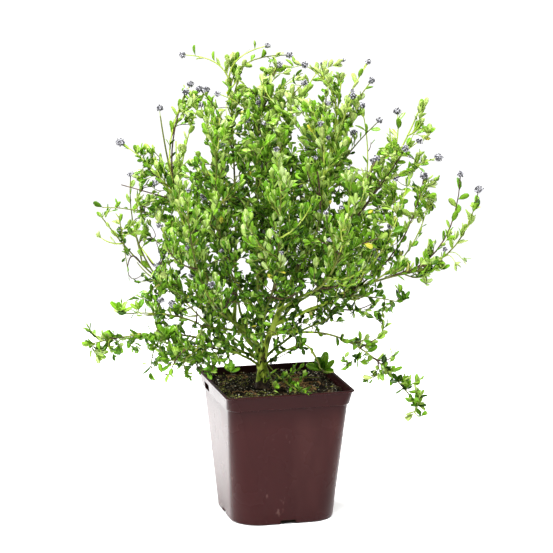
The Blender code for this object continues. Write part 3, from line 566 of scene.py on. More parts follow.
# Gaps in the crown as the camera sees it: right of and above the foot, and their half sizes, in mm
bays = (
    (-4, 328, 9, 5), (-113, 72, 7, 9), (67, 57, 8, 7), (88, 56, 8, 7), (107, 58, 9, 8),
    (-158, 137, 14, 13), (-130, 98, 11, 7), (-112, 32, 9, 5), (-91, 253, 9, 12), (-52, 294, 7, 6),
    (47, 57, 7, 6), (-130, 178, 9, 7), (188, 134, 11, 10),
    (-88, 255, 10, 25), (-92, 234, 8, 9), (-112, 265, 10, 26), (-65, 306, 15, 8), (101, 235, 13, 20),
    (117, 247, 5, 11), (107, 265, 9, 12), (132, 275, 11, 14), (141, 251, 7, 8), (147, 257, 4, 7),
    (146, 277, 8, 9), (137, 203, 5, 7), (150, 144, 11, 16), (184, 192, 9, 26), (184, 138, 15, 8),
    (-126, 129, 14, 21), (-110, 127, 9, 14), (-97, 200, 8, 9), (-105, 153, 7, 7), (-27, 209, 7, 9),
    (-56, 231, 5, 5), (-62, 242, 4, 7), (-12, 307, 10, 10), (4, 320, 7, 3), (39, 296, 6, 9),
    (26, 303, 4, 8), (11, 310, 6, 4), (49, 310, 5, 6), (34, 316, 5, 4), (58, 43, 9, 7), (27, 44, 7, 5),
    (31, 29, 16, 3), (-22, 28, 7, 4), (46, 84, 9, 8), (9, 99, 5, 6), (-23, 78, 5, 7), (-67, 74, 8, 7),
    (-93, 88, 7, 6), (-71, 54, 9, 6), (-32, 60, 4, 5), (-25, 48, 4, 3), (103, 85, 9, 6),
    (80, 37, 5, 4), (-87, 67, 4, 5), (-135, 63, 20, 6), (-114, 59, 9, 6), (-112, 11, 14, 11),
    (106, 180, 5, 5), (147, 177, 4, 5), (123, 111, 5, 5), (103, 109, 7, 4), (-39, 279, 6, 4),
    (-53, 218, 3, 5), (86, 298, 8, 6), (126, 257, 5, 5),
)
# Places where no leaf hides the fork of the trunk, in the same form, and how far behind the trunk's foot
# leaves are still kept out
clearings = (
    (6, 42, 5, 7), (10, 54, 5, 7), (14, 66, 5, 7), (19, 76, 4, 5), (-12, 42, 4, 5), (-20, 56, 4, 5),
    (-30, 71, 4, 5), (0, 16, 7, 11), (62, 24, 16, 16),
)
clearingDepth = 4
# How the leaves of some masses' long shoots are set: their spacing, their size, and the share of twigs
longLeaves = {"top_left": (10.0, -0.02, 0.15)}
# How close leaves stand on the stems of the long open sprays, in mm
leafyStems = {"low_left": 4.2, "low_right": 4.2, "mid_right": 6.0, "reach_left": 5.0}
# Side shoots: their seed, spacing and shortest length, how far their turn and length vary, where in half
# a wave of length they begin and how much of it they take up, and the ways they set off and end
shootPlan = {
    "seed": 7, "spacing": 23, "shortest": 11, "turnJitter": 0.35, "lengthJitter": 0.2,
    "phase": (0.25, 0.6),
    "setOff": (0.85, 0.55), "endWay": (0.62, 0.62, 0.3), "stemSetOff": 0.45, "longSetOff": 0.35,
    "longLean": 0.15, "cadLeaf": 26, "tipReach": 0.85, "leastWood": 0.4,
    "ownMargin": 1.6, "limbClearance": 1.2, "skeletonStep": 3, "limbStep": 1.2,
    "fitSteps": 10, "fitFrom": 2,
}


# A point of the plant's layout in the pot's frame
def place(pointMm):
    return footPlace + Matrix.Rotation(crownTurn, 3, "Z") @ Vector(pointMm) * mm


# A curve p(s) = a (1-s)^2 + 2 b s (1-s) + c s^2 from start a to end c, bent towards its control point b
class LimbCurve:
    def __init__(self, start, control, end):
        self.start, self.control, self.end = start, control, end

    def at(self, share):
        rest = 1 - share
        return self.start * rest**2 + self.control * 2 * rest * share + self.end * share**2

    def direction(self, share):
        slope = (self.control - self.start) * (1 - share) + (self.end - self.control) * share
        return slope.normalized()

    def length(self, steps=12):
        points = [self.at(i / steps) for i in range(steps + 1)]
        return sum((b - a).length for a, b in zip(points, points[1:]))

    def shortened(self, share):
        return LimbCurve(self.start, self.start.lerp(self.control, share), self.at(share))

    def after(self, share):
        return LimbCurve(self.at(share), self.control.lerp(self.end, share), self.end)

    # the wood under the large tip leaf that the solids have
    def beforeTipLeaf(self):
        reach = shootPlan["tipReach"] * shootPlan["cadLeaf"] * mm
        return self.shortened(max(shootPlan["leastWood"], 1 - reach / self.length()))


# Upwards, square to a chord and as long as it: an upright chord gets none
def liftAcross(chord):
    along = chord.normalized()
    return (up - along * up.dot(along)) * chord.length


# The trunk leans evenly from foot to tip, and bends in the middle
def trunkCurve():
    height = trunkPlan["profile"][-1][0]
    middle = [lean / 2 + bend for lean, bend in zip(trunkPlan["lean"], trunkPlan["bend"])]
    return LimbCurve(place((0, 0, 0)), place((*middle, height / 2)), place((*trunkPlan["lean"], height)))


# A bough runs from its place on its parent to its tip, lifted in the middle by its bow times its length
def boughCurves():
    curves = {"trunk": trunkCurve()}
    for name, (parent, share, tip, bow, _, _) in boughs.items():
        start = curves[parent].at(share)
        end = place(tip)
        curves[name] = LimbCurve(start, (start + end) / 2 + liftAcross(end - start) * bow, end)
    return curves


# A mass's stem goes on from its bough in the same direction, and bends to its tip
def stemCurve(curves, name):
    tip, bow, _, _ = masses[name]
    heading = curves[name].direction(1.0)
    start = curves[name].end + heading * seatGap
    chord = place(tip) - start
    control = start + heading * shootPlan["stemSetOff"] * chord.length + liftAcross(chord) * bow
    return LimbCurve(start, control, place(tip))


# A long shoot sets off the way its stem runs, leans to its tip, and is lifted by its bow
def longShootCurve(stem, share, tip, bow):
    start, end = stem.at(share), place(tip)
    chord = end - start
    setOff = stem.direction(share) * shootPlan["longSetOff"] * chord.length + chord * shootPlan["longLean"]
    return LimbCurve(start, start + setOff + liftAcross(chord) * bow, end)


# A shoot that leaves a limb: it sets off outwards at a turn round the limb, then bends along it and up
def leavingShoot(limb, share, turn, reach, setOff, endWay):
    along = limb.direction(share)
    outwards = Matrix.Rotation(turn, 3, along) @ along.orthogonal().normalized()
    heading = (outwards * setOff[0] + along * setOff[1]).normalized()
    way = (outwards * endWay[0] + along * endWay[1] + up * endWay[2]).normalized()
    start = limb.at(share)
    return LimbCurve(start, start + heading * reach / 2, start + way * reach)


# Shoots round the stem by the golden angle, longest mid-stem
def sideShootCurves(stem, longest, chance):
    plan = shootPlan
    count = max(2, round(stem.length() / (plan["spacing"] * mm)))
    turn = chance.uniform(0, math.tau)
    shoots = []
    for k in range(count):
        share = (k + 0.5) / count
        turn += goldenAngle + chance.uniform(-plan["turnJitter"], plan["turnJitter"])
        swell = math.sin(math.pi * (plan["phase"][0] + plan["phase"][1] * share))
        reach = longest * mm * swell * chance.uniform(1 - plan["lengthJitter"], 1 + plan["lengthJitter"])
        shoots.append(leavingShoot(stem, share, turn, reach, plan["setOff"], plan["endWay"]))
    return shoots


# Which points a mass may use: nearer its own stem and long shoots than any other's, clear of the limbs
# and not in the pot
class CrownSpace:
    def __init__(self, skeletons, limbs):
        self.names = list(skeletons)
        points, owners = [], []
        for number, name in enumerate(self.names):
            for curve in skeletons[name]:
                steps = max(2, round(curve.length() / (shootPlan["skeletonStep"] * mm)))
                points += [curve.at(i / steps) for i in range(steps + 1)]
                owners += [number] * (steps + 1)
        self.points, self.owners = np.array(points), np.array(owners)
        limbPoints, limbRadii = [], []
        for curve, radii in limbs:
            steps = max(2, round(curve.length() / (shootPlan["limbStep"] * mm)))
            limbPoints += [curve.at(i / steps) for i in range(steps + 1)]
            limbRadii += [radii[0] + (radii[1] - radii[0]) * i / steps for i in range(steps + 1)]
        self.limbPoints, self.limbRadii = np.array(limbPoints), np.array(limbRadii)

    def free(self, points, clearance):
        room = np.linalg.norm(points[:, None] - self.limbPoints[None], axis=2) - self.limbRadii
        above = points[:, 2] > (potPlan["height"] + shootPlan["limbClearance"]) * mm
        inside = np.abs(points[:, :2]).max(1) < (potPlan["rimSide"] / 2 + shootPlan["limbClearance"]) * mm
        return (room.min(1) > clearance) & (above | ~inside)

    def holds(self, name, points):
        points = np.array([tuple(p) for p in points])
        gaps = np.linalg.norm(points[:, None] - self.points[None], axis=2)
        own = self.owners == self.names.index(name)
        nearer = gaps[:, own].min(1) + shootPlan["ownMargin"] * mm < gaps[:, ~own].min(1)
        return nearer & self.free(points, shootPlan["limbClearance"] * mm)

    # the share of a shoot that stays in the mass's space
    def fit(self, name, curve):
        steps, first = shootPlan["fitSteps"], shootPlan["fitFrom"]
        held = self.holds(name, [curve.at(i / steps) for i in range(first, steps + 1)])
        share = 1.0 if held.all() else (int(np.argmin(held)) + first - 1) / steps
        return share if share * curve.length() > shootPlan["shortest"] * mm else 0.0


curves = boughCurves()
stems = {name: stemCurve(curves, name) for name in masses}
longs = {}
for name, stem in stems.items():
    longs[name] = [longShootCurve(stem, *row[:3]) for row in longShoots.get(name, ())]
limbs = [(curves["trunk"], (trunkPlan["stoutestFork"] * mm, trunkPlan["stoutestFork"] * mm))]
limbs += [(curves[name], (row[4] * mm, row[5] * mm)) for name, row in boughs.items()]
space = CrownSpace({name: [stems[name], *longs[name]] for name in masses}, limbs)
print("layout:", len(boughs), "boughs,", len(masses), "masses")


# Limbs

# Rings along many curves at once. For each curve and share s: the middle p(s), and two axes square to
# the curve, the first of them carried along without twisting. All arrays are curves x rings x 3
def ringFrames(starts, controls, ends, shares):
    s = np.asarray(shares)[None, :, None]
    a, b, c = (np.asarray(p, dtype=float)[:, None] for p in (starts, controls, ends))
    middle = a * (1 - s) ** 2 + 2 * b * s * (1 - s) + c * s**2
    along = normalised((b - a) * (1 - s) + (c - b) * s)
    nearlyUpright = 0.9
    guide = np.where(np.abs(along[:, :1, 2:]) > nearlyUpright, [[[1.0, 0, 0]]], [[[0, 0, 1.0]]])
    side = np.empty_like(along)
    side[:, 0] = normalised(np.cross(along[:, 0], guide[:, 0]))
    for k in range(1, along.shape[1]):
        before = side[:, k - 1]
        side[:, k] = normalised(before - along[:, k] * (before * along[:, k]).sum(-1, keepdims=True))
    return middle, along, side, np.cross(along, side)


# Closed tubes along many curves: each ring is middle + (side cos t + other sin t) * radius. radii is an
# array of curves x rings, or of curves x rings x sides for a relief. The tip is drawn out to a low point
def tubes(starts, controls, ends, radii, shares, sides):
    tipRise = 0.6
    middle, along, side, other = ringFrames(starts, controls, ends, shares)
    radii = np.asarray(radii, dtype=float)
    if radii.ndim == 2:
        radii = radii[..., None]
    turns = math.tau * np.arange(sides) / sides
    ring = side[:, :, None] * np.cos(turns)[:, None] + other[:, :, None] * np.sin(turns)[:, None]
    points = middle[:, :, None] + ring * radii[..., None]
    count, rings = middle.shape[:2]
    tip = radii[:, -1].mean(-1, keepdims=True) * tipRise
    caps = np.stack([middle[:, 0], middle[:, -1] + along[:, -1] * tip], 1)
    points = np.concatenate([points.reshape(count, rings * sides, 3), caps], 1)
    each = rings * sides + 2
    offsets = (np.arange(count) * each)[:, None, None]
    quads = (ringQuads(rings, sides)[None] + offsets).reshape(-1, 4)
    ends = np.concatenate([fan(each - 2, 0, sides, True), fan(each - 1, (rings - 1) * sides, sides)])
    return points.reshape(-1, 3), [quads, (ends[None] + offsets).reshape(-1, 3)]


woodGrain = {"roughScale": 300.0, "grainScale": 2600.0, "grain": 0.6, "grainDepth": 0.0005}
barkLook = {
    "base": colour(0.14, 0.21, 0.012),
    "patches": [
        (colour(0.52, 0.64, 0.09), 170.0, 3.0, 0.47, 0.56),
        (colour(0.012, 0.018, 0.002), 330.0, 2.2, 0.51, 0.57),
        (colour(0.07, 0.045, 0.018), 120.0, 2.0, 0.57, 0.66),
    ],
    "roughness": (0.55, 0.8), "shine": 0.12, **woodGrain,
}
footLook = {
    "base": colour(0.024, 0.014, 0.008),
    "patches": [
        (colour(0.06, 0.04, 0.022), 300.0, 2.0, 0.5, 0.66),
        (colour(0.012, 0.007, 0.005), 520.0, 1.0, 0.5, 0.62),
    ],
    "roughness": (0.75, 0.95), "shine": 0.2, **woodGrain,
}
boughLook = {
    "base": colour(0.12, 0.19, 0.012),
    "patches": [
        (colour(0.27, 0.38, 0.045), 120.0, 4.0, 0.48, 0.64),
        (colour(0.055, 0.08, 0.008), 260.0, 3.0, 0.55, 0.66),
    ],
    "roughness": (0.45, 0.65), "roughScale": 300.0, "grainScale": 2400.0, "grain": 0.4,
    "grainDepth": 0.0004, "shine": 0.15,
}
# The right boughs' bark: partly their own lime tone, partly painted light that keeps them lit inside the
# crown's shade
limeAndLitLook = dict(boughLook, base=colour(0.29, 0.42, 0.03), patches=[
    (colour(0.47, 0.6, 0.09), 120.0, 4.0, 0.46, 0.62),
    (colour(0.06, 0.09, 0.008), 230.0, 3.0, 0.55, 0.66),
])
deadWoodLook = dict(footLook, base=colour(0.06, 0.036, 0.02), patches=[
    (colour(0.13, 0.088, 0.05), 260.0, 3.0, 0.5, 0.64),
])
# Ridges, cracks, grain, collars and relief are shares of a radius. The trunk's cells are in mm, the
# boughs' in metres. A collar begins at collarFrom in mm, on the trunk or on a bough
barkPlan = {
    "ridges": 0.055, "ridgeCell": (2.2, 2.2, 9.0), "crackDepth": 0.05, "crackCell": (1.6, 1.6, 6.0),
    "crackWidth": 0.12, "fine": 0.018, "fineCell": 0.9,
    "brownFootHeight": 6.5, "brownWaver": 1.6, "brownCell": 0.004,
    "boughRings": 44, "boughSides": 14, "collar": 0.22, "collarFade": 3.5, "collarFrom": (4.5, 1.5),
    "boughRelief": 0.07, "reliefCell": 0.0035, "fineRelief": 0.6, "fineReliefCell": 0.0012,
    "sway": 1.0, "swayCell": 0.011, "stouter": {"right": 1.15},
    # boughs whose bark is painted lighter: partly lime tone, partly painted light
    "limeAndLit": ("right", "low_right", "mid_right"),
}


# The trunk's radius at a height h and turn t is the profile's r(h), times 1 + lobes that fade with the
# height + long ridges of noise - narrow cracks where other noise crosses nought + a fine grain
def makeTrunk():
    plan, bark = trunkPlan, barkPlan
    heights = np.linspace(0, plan["profile"][-1][0], plan["rings"])
    profile = np.array(plan["profile"], dtype=float)
    radii = np.interp(heights, profile[:, 0], profile[:, 1])
    reach = plan["smoothRings"]
    kernel = np.exp(-0.5 * (np.arange(-reach, reach + 1) / plan["smoothWidth"]) ** 2)
    padded = np.pad(radii, reach, mode="edge")
    radii = np.convolve(padded, kernel / kernel.sum(), mode="valid")
    turns = math.tau * np.arange(plan["sides"]) / plan["sides"]
    ring = np.stack([np.cos(turns), np.sin(turns)], -1)
    flat = np.concatenate([ring[None] * radii[:, None, None],
                           np.broadcast_to(heights[:, None, None], (len(heights), len(turns), 1))], -1)
    ridges = smoothNoise(flat / np.array(bark["ridgeCell"]), 1.0, seed=11)
    cracks = smoothNoise(flat / np.array(bark["crackCell"]), 1.0, seed=12)
    cracks = np.exp(-(cracks / bark["crackWidth"]) ** 2)
    fine = smoothNoise(flat, bark["fineCell"], seed=13)
    lobes = plan["lobeShare"] * np.exp(-heights / plan["lobeFade"])[:, None]
    lobes = lobes * np.cos(plan["rootLobes"] * turns + plan["lobeTwist"] * np.sin(2 * turns))[None]
    shape = 1 + lobes + bark["ridges"] * ridges - bark["crackDepth"] * cracks + bark["fine"] * fine
    curve = curves["trunk"]
    middle = np.array([curve.at(h / heights[-1]) for h in heights])
    middle[:, 2] += seatGap
    ring = np.concatenate([ring, np.zeros((len(turns), 1))], -1)
    rings = middle[:, None] + ring * (radii[:, None] * shape * mm)[..., None]
    top = middle[-1] + np.array((0, 0, plan["tipRise"] * mm))
    points, (quads, *ends) = closedRings(rings, middle[0], top)
    waver = bark["brownWaver"] * smoothNoise(points[quads[:, 0]], bark["brownCell"], seed=14)
    isFoot = np.repeat(heights[:-1], plan["sides"]) + waver < bark["brownFootHeight"]
    faceSets = [quads[~isFoot], quads[isFoot], *ends]
    looks = [naturalMaterial("trunkBark", barkLook), naturalMaterial("footBark", footLook)]
    return makePiece("trunkBark", points, faceSets, looks, [0, 1, 1, 0])


# A bough's radius runs evenly from root to tip, times 1 + a collar that fades away from its root, and
# times 1 + noise. The bough sways by noise in the middle, and keeps both its ends
def makeBoughs():
    bark = barkPlan
    names = list(boughs)
    shares = np.linspace(0, 1, bark["boughRings"])
    lengths = np.array([curves[name].length() for name in names])
    ends = [[getattr(curves[name], end) for name in names] for end in ("start", "control", "end")]
    stouter = [bark["stouter"].get(name, 1) for name in names]
    root, tip = (np.array([boughs[name][k] * part for name, part in zip(names, stouter)]) * mm
                 for k in (4, 5))
    radii = root[:, None] + (tip - root)[:, None] * shares
    onTrunk = [boughs[name][0] == "trunk" for name in names]
    away = shares[None] * lengths[:, None] - np.where(onTrunk, *bark["collarFrom"])[:, None] * mm
    radii = radii * (1 + bark["collar"] * np.exp(-np.maximum(away, 0) / (bark["collarFade"] * mm)))
    middle, _, side, other = ringFrames(*ends, shares)
    turns = math.tau * np.arange(bark["boughSides"]) / bark["boughSides"]
    ring = side[:, :, None] * np.cos(turns)[:, None] + other[:, :, None] * np.sin(turns)[:, None]
    at = middle[:, :, None] + ring * radii[..., None, None]
    fine = bark["fineRelief"] * smoothNoise(at, bark["fineReliefCell"], seed=22)
    relief = 1 + bark["boughRelief"] * (smoothNoise(at, bark["reliefCell"], seed=21) + fine)
    points, (quads, caps) = tubes(*ends, radii[..., None] * relief, shares, bark["boughSides"])
    # faces of the boughs with the lighter bark, partly lime tone and partly painted light
    limeAndLit = np.repeat([name in bark["limeAndLit"] for name in names], len(quads) // len(names))
    sway = np.stack([smoothNoise(middle + 0.1 * k, bark["swayCell"], seed=23 + k) for k in range(3)], -1)
    sway = sway * (np.sin(math.pi * shares) * bark["sway"] * mm)[None, :, None]
    each = len(shares) * bark["boughSides"]
    grid = points.reshape(len(names), each + 2, 3)
    grid[:, :each] += np.repeat(sway, bark["boughSides"], axis=1)
    looks = [naturalMaterial("boughBark", boughLook), naturalMaterial("limeAndLitBark", limeAndLitLook)]
    return makePiece("boughBark", points, [quads[~limeAndLit], quads[limeAndLit], caps], looks, [0, 1, 0])


# Old wood: cut stubs and dead twigs, each with its start and end in the layout and its two radii
stubs = (
    ((36, 4, 117), (46, 8, 146), 2.3, 2.0), ((-28, -3, 71), (-26, -3, 95), 1.7, 1.4),
    ((-36, -4, 80), (-46, -3, 92), 1.5, 1.2),
)
deadTwigs = (
    ((68, -72, 157), (80, -92, 176), 1.1, 1.0), ((52, -70, 180), (53, -90, 232), 0.9, 0.6),
    ((8, -4, 27), (37, -20, 46), 0.6, 0.45), ((-120, -10, 180), (-136, -14, 206), 0.7, 0.5),
)


# How finely old wood is made, from which ring a stub is brown, and its bend and relief in metres
oldWoodPlan = {
    "rings": 9, "sides": 12, "cutFrom": 7, "bend": (0.0012, 0.0006, 0.0),
    "relief": 0.1, "reliefCell": 0.0022, "reliefReach": 0.002, "samples": 60,
}


# The one of some samples that is nearest a point
def nearestOf(samples, point):
    return samples[np.linalg.norm(samples - point, axis=1).argmin()]


# Stubs and dead twigs are short tubes that bend a little, the stubs' last bit brown where they were cut.
# Dead twigs start on the nearest limb
def makeOldWood():
    plan = oldWoodPlan
    count, sides = plan["samples"], plan["sides"]
    grown = [*curves.values(), *stems.values()]
    samples = np.array([tuple(curve.at(k / count)) for curve in grown for k in range(count + 1)])
    shares = np.linspace(0, 1, plan["rings"])
    turns = np.arange(sides)
    around = np.stack([np.cos(turns), np.sin(turns), 0 * turns], -1)
    parts, kinds = [], []
    for rows, brownFrom in ((stubs, plan["cutFrom"]), (deadTwigs, 0)):
        starts, ends = (np.array([place(row[k]) for row in rows]) for k in (0, 1))
        if rows is deadTwigs:
            starts = np.array([nearestOf(samples, start) for start in starts])
        middles = (starts + ends) / 2 + np.array(plan["bend"])
        root, tip = (np.array([row[k] for row in rows])[:, None] * mm for k in (2, 3))
        radii = (root + (tip - root) * shares)[..., None] * np.ones(sides)
        at = starts[:, None, None] + (ends - starts)[:, None, None] * shares[None, :, None, None]
        at = at + around * plan["reliefReach"]
        relief = 1 + plan["relief"] * smoothNoise(at, plan["reliefCell"], seed=25)
        points, (quads, caps) = tubes(starts, middles, ends, radii * relief, shares, sides)
        ring = (np.arange(len(quads)) % ((len(shares) - 1) * sides)) // sides
        isBrown = ring >= brownFrom
        parts.append((points, [quads[~isBrown], quads[isBrown], caps] if brownFrom else [quads, caps]))
        kinds += [0, 1, 1] if brownFrom else [1, 1]
    points, faceSets = joined(parts)
    looks = [naturalMaterial("stubBark", boughLook), naturalMaterial("deadWood", deadWoodLook)]
    return makePiece("oldWood", points, faceSets, looks, kinds)


trunkBark = makeTrunk()
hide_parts("trunk")
boughBark = makeBoughs()
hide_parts(*["bough_" + name for name in boughs])
oldWood = makeOldWood()
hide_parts("bough_right")
print("bark:", len(trunkBark.data.polygons) + len(boughBark.data.polygons), "faces")


# Shoots, twigs and leaves

# Twigs: spacing, length and radii in mm, the ways they set off and end, and which end in a flower head
twigPlan = {
    "seed": 40, "spacing": 9.5, "reach": (14, 34), "tipShrink": 0.4, "turnJitter": 0.4, "clearance": 1.5,
    "setOff": (0.8, 0.6), "endWay": (0.52, 0.65, 0.48),
    "leafSpacing": 4.2, "leavesFrom": 0.18, "tipLeaves": (2, 3, 3), "toneJitter": 0.09,
    "twigRadii": (0.5, 0.34), "shootRadii": (0.95, 0.52), "stalkRadii": (0.42, 0.32),
    "headFrom": 0.6, "headShare": 0.06, "headRadius": (2.0, 3.0), "stalk": (5, 12),
}
# Leaves: lengths in mm, sizes from the shade to the light, widths as shares of the length, how many
# stand in a tuft, and how they lie, cup and arch
leafPlan = {
    "length": (4.5, 15.0), "lengthJitter": (0.9, 1.1), "size": (0.32, 0.46), "sizePower": 1.6,
    "widthShare": (0.45, 0.6), "widening": -0.09, "cup": (-0.04, 0.3), "arch": (-0.14, 0.34),
    "tuft": (1, 1, 2, 2, 2, 3), "sparseTuft": (1, 1, 1, 2), "spread": math.radians(36),
    "looseSpread": math.radians(52), "spreadJitter": 0.5, "lift": (0.12, 0.5), "roll": 1.15,
    "facing": (0.7, 0.05, 0.48, 0.35), "besideTurn": 1.2, "besideScale": (0.4, 0.8),
    "fullScale": (0.75, 1.1), "lightUpCurve": 0.14, "lightBeside": 0.08, "lightAtTip": 0.22,
    "lastShare": (0.96, 0.93, 0.86), "tipSpread": (0.25, 0.85), "tipFirstSpread": 0.08, "tipRoll": 0.5,
    "tipScale": (0.5, 1.0), "tipSunk": 0.4, "crownMiddle": 150,
    "boxMargin": 3.0, "clearance": 0.4, "clearAt": 0.6, "looseInBays": 0.42,
}
# Leaf meshes by length in mm: where the rows of points lie along the leaf, how wide it is there, and where
# a row's points lie across it and how far they are puffed up
leafForms = {
    "small": (0.0, 9.8, (0.16, 0.58, 0.9), (0.3, 1.0, 0.62), (-1.0, 0.0, 1.0), (0.0, -0.04, 0.0)),
    "large": (9.8, 99, (0.11, 0.34, 0.66, 0.92), (0.22, 0.84, 1.0, 0.64),
              (-1.0, -0.5, 0.0, 0.5, 1.0), (0.0, 0.055, -0.02, 0.055, 0.0)),
}
# Where twigs fill the crown: the middle and half sizes of round places in the layout, the steps of the
# grids laid over them, and how far from other wood a grid place must be to draw a twig
fillRounds = (
    ((12, 0, 152), (124, 94, 92), (21, 17), 10),
    ((20, 0, 244), (78, 74, 80), (21, 17), 10),
    ((-86, -60, 48), (28, 28, 30), (15, 12, 10), 7),
    ((-50, -44, 38), (24, 22, 24), (13, 11), 7),
    ((-72, 0, 272), (10, 18, 12), (12,), 7),
    ((-110, -10, 232), (11, 18, 12), (10,), 5),
    ((67, 0, 292), (11, 16, 10), (11,), 6),
    ((-12, -10, 114), (12, 20, 10), (11,), 7),
    ((28, 0, 245), (11, 16, 14), (12,), 7),
    ((28, 0, 228), (10, 16, 10), (12,), 7),
    ((140, 5, 196), (13, 18, 14), (11,), 6),
    ((62, -6, 37), (16, 14, 8), (11,), 6),
    ((-128, -50, 76), (10, 12, 8), (11,), 5),
    ((68, 0, 312), (10, 12, 8), (11,), 5),
    ((128, -62, 50), (11, 10, 8), (10,), 5),
    ((126, 8, 192), (12, 20, 12), (9.5,), 5),
    ((165, 0, 196), (13, 20, 13), (9,), 4),
    ((126, 10, 232), (12, 16, 11), (12,), 7),
    ((110, -36, 86), (22, 10, 8), (11,), 6),
    ((128, -36, 102), (14, 10, 8), (12,), 6),
    ((144, -64, 8), (15, 10, 11), (8,), 4),
    ((146, 5, 176), (13, 20, 13), (9,), 5),
    ((8, 0, 115), (12, 24, 11), (13,), 8),
    ((165, -30, 122), (12, 16, 10), (12,), 7),
    ((-130, -55, 88), (11, 14, 10), (11,), 6),
    ((48, -6, 38), (32, 20, 10), (12,), 7),
    ((106, -56, 28), (13, 12, 10), (10,), 6),
    ((136, -62, 9), (22, 10, 10), (9,), 5),
    ((147, -66, -8), (10, 8, 8), (10,), 5),
    ((-52, -50, 22), (10, 8, 14), (11,), 6),
    ((-134, 15, 166), (22, 16, 11), (15,), 9),
    ((-2, -6, 72), (98, 62, 34), (17, 14), 9),
    ((-109, -20, 103), (24, 26, 20), (15, 12), 9),
    ((-106, -10, 196), (18, 26, 34), (13, 11), 7),
    ((14, -4, 290), (56, 34, 26), (15,), 8),
    ((173, -32, 133), (22, 20, 14), (13, 11), 8),
    ((145, 20, 238), (20, 26, 24), (17,), 10),
    ((152, 6, 190), (20, 26, 28), (15, 12), 8),
    ((-115, 4, 158), (14, 20, 12), (11,), 6),
    ((-112, 0, 240), (12, 14, 10), (12,), 7),
    ((36, -10, 48), (24, 20, 12), (12,), 8),
    ((82, -40, 42), (24, 20, 15), (13, 11), 8),
    ((-148, -36, 45), (34, 11, 9), (10.5,), 5),
    ((-12, 0, 50), (34, 30, 14), (12,), 9),
    ((-62, 0, 286), (16, 20, 10), (15,), 10),
)
fillPlan = {
    "far": 34, "sample": 4, "seed": 90, "setOff": 0.32, "lean": 0.22, "rise": 0.12,
    "clearance": 1.5, "openCell": 30, "openBelow": -0.28, "leavesFrom": 0.15, "tipLeaves": 3,
}
# Rosettes of larger leaves: place in the layout, how many leaves, their length in mm, their light, how wide
# they are spread from their axis, how far that leans to the front, and how far the leaves face the front
rosettes = (
    ((60, 32, 9), 12, 18.0, 0.6, (0.2, 1.5), 0.1, 1.6),
    ((159, -34, 112), 7, 9.5, 0.95, (0.4, 1.3), 0.4, 0.6),
    ((138, -40, 97), 6, 10.5, 0.5, (0.3, 1.2), 0.3, 0.6),
    ((205, -42, 186), 5, 11.0, 0.8, (0.3, 1.2), 0.3, 0.5),
    ((-92, -60, 66), 10, 13.0, 0.78, (0.35, 1.1), 0.5, 0.5),
    ((-136, -60, 90), 8, 12.5, 0.82, (0.4, 1.2), 0.4, 0.6),
    ((68, -60, 125), 11, 13.5, 0.62, (0.4, 1.4), 0.6, 0.8),
    ((132, -64, 22), 6, 11.0, 0.45, (0.4, 1.4), 0.4, 0.8),
    ((150, -66, -2), 6, 10.5, 0.5, (0.4, 1.4), 0.4, 0.8),
    ((154, -66, -12), 5, 9.5, 0.55, (0.4, 1.4), 0.4, 0.8),
    ((174, -34, 126), 9, 10.5, 0.95, (0.3, 1.1), 0.4, 0.5),
    ((163, 20, 250), 8, 12.0, 0.9, (0.4, 1.2), 0.3, 0.5),
    ((-118, -60, 92), 6, 12.0, 0.7, (0.4, 1.2), 0.3, 0.6),
    ((140, -62, 14), 9, 10.5, 0.5, (0.3, 1.3), 0.2, 0.8),
    ((124, -58, 28), 6, 10.5, 0.5, (0.3, 1.3), 0.2, 0.8),
    ((-30, -50, 28), 5, 12.5, 0.52, (0.2, 1.5), 0.1, 1.2),
    ((-48, -50, 27), 4, 11.0, 0.42, (0.3, 1.5), 0.1, 1.0),
)
rosettePlan = {
    "seed": 61, "near": 2, "bow": 3, "twigRadii": (0.75, 0.51), "lengths": (0.72, 1.1), "back": 0.2,
}
# Low sprigs: where they start, their tip, their bow, leaf spacing, extra leaf size and light
sprigs = (
    ((4, -3, 27), (44, -60, 9), -0.16, 5.0, 0.04, 0.34),
    ((4, -4, 24), (13, -44, 8), 0.05, 7.0, 0.05, 0.8),
    ((6, 3, 6), (60, 32, 2), 0.06, 26.0, 0.0, 0.3),
    ((-140, 8, 171), (-131, 8, 112), 0.0, 6.5, -0.16, 0.36),
)
sprigPlan = {"seed": 62, "radii": (0.6, 0.42), "leavesFrom": 0.12, "tipLeaves": 2}
# Twigs on the boughs themselves: from which share of a bough, how close, how long, and their leaves
boughTwigPlan = {
    "seed": 900, "from": {"left": 0.38, "right": 0.38}, "usualFrom": 0.16, "spacing": 8, "reach": (13, 36),
    "extra": -0.04, "light": 0.3, "share": 0.85, "leafSpacing": 7.0, "tipLeaves": 2,
}
# Leaf colours, from the young tips to the shaded inside, picked by lightAt so that light and shade are
# painted in: the face, a lighter tone in it, the underside
leafShades = {
    "YoungLit": (colour(0.27, 0.395, 0.07), colour(0.38, 0.49, 0.19), colour(0.36, 0.455, 0.13)),
    "Lime": (colour(0.185, 0.325, 0.026), colour(0.27, 0.405, 0.08), colour(0.235, 0.355, 0.06)),
    "Bright": (colour(0.116, 0.285, 0.01), colour(0.178, 0.36, 0.02), colour(0.16, 0.31, 0.022)),
    "Fresh": (colour(0.07, 0.196, 0.006), colour(0.112, 0.26, 0.01), colour(0.11, 0.232, 0.014)),
    "Mid": (colour(0.04, 0.122, 0.003), colour(0.07, 0.176, 0.006), colour(0.072, 0.162, 0.009)),
    "Deep": (colour(0.02, 0.066, 0.0015), colour(0.038, 0.106, 0.004), colour(0.042, 0.104, 0.005)),
    "Shade": (colour(0.009, 0.03, 0.001), colour(0.019, 0.056, 0.002), colour(0.022, 0.058, 0.003)),
    "Yellow": (colour(0.48, 0.48, 0.03), colour(0.56, 0.52, 0.06), colour(0.42, 0.42, 0.11)),
}
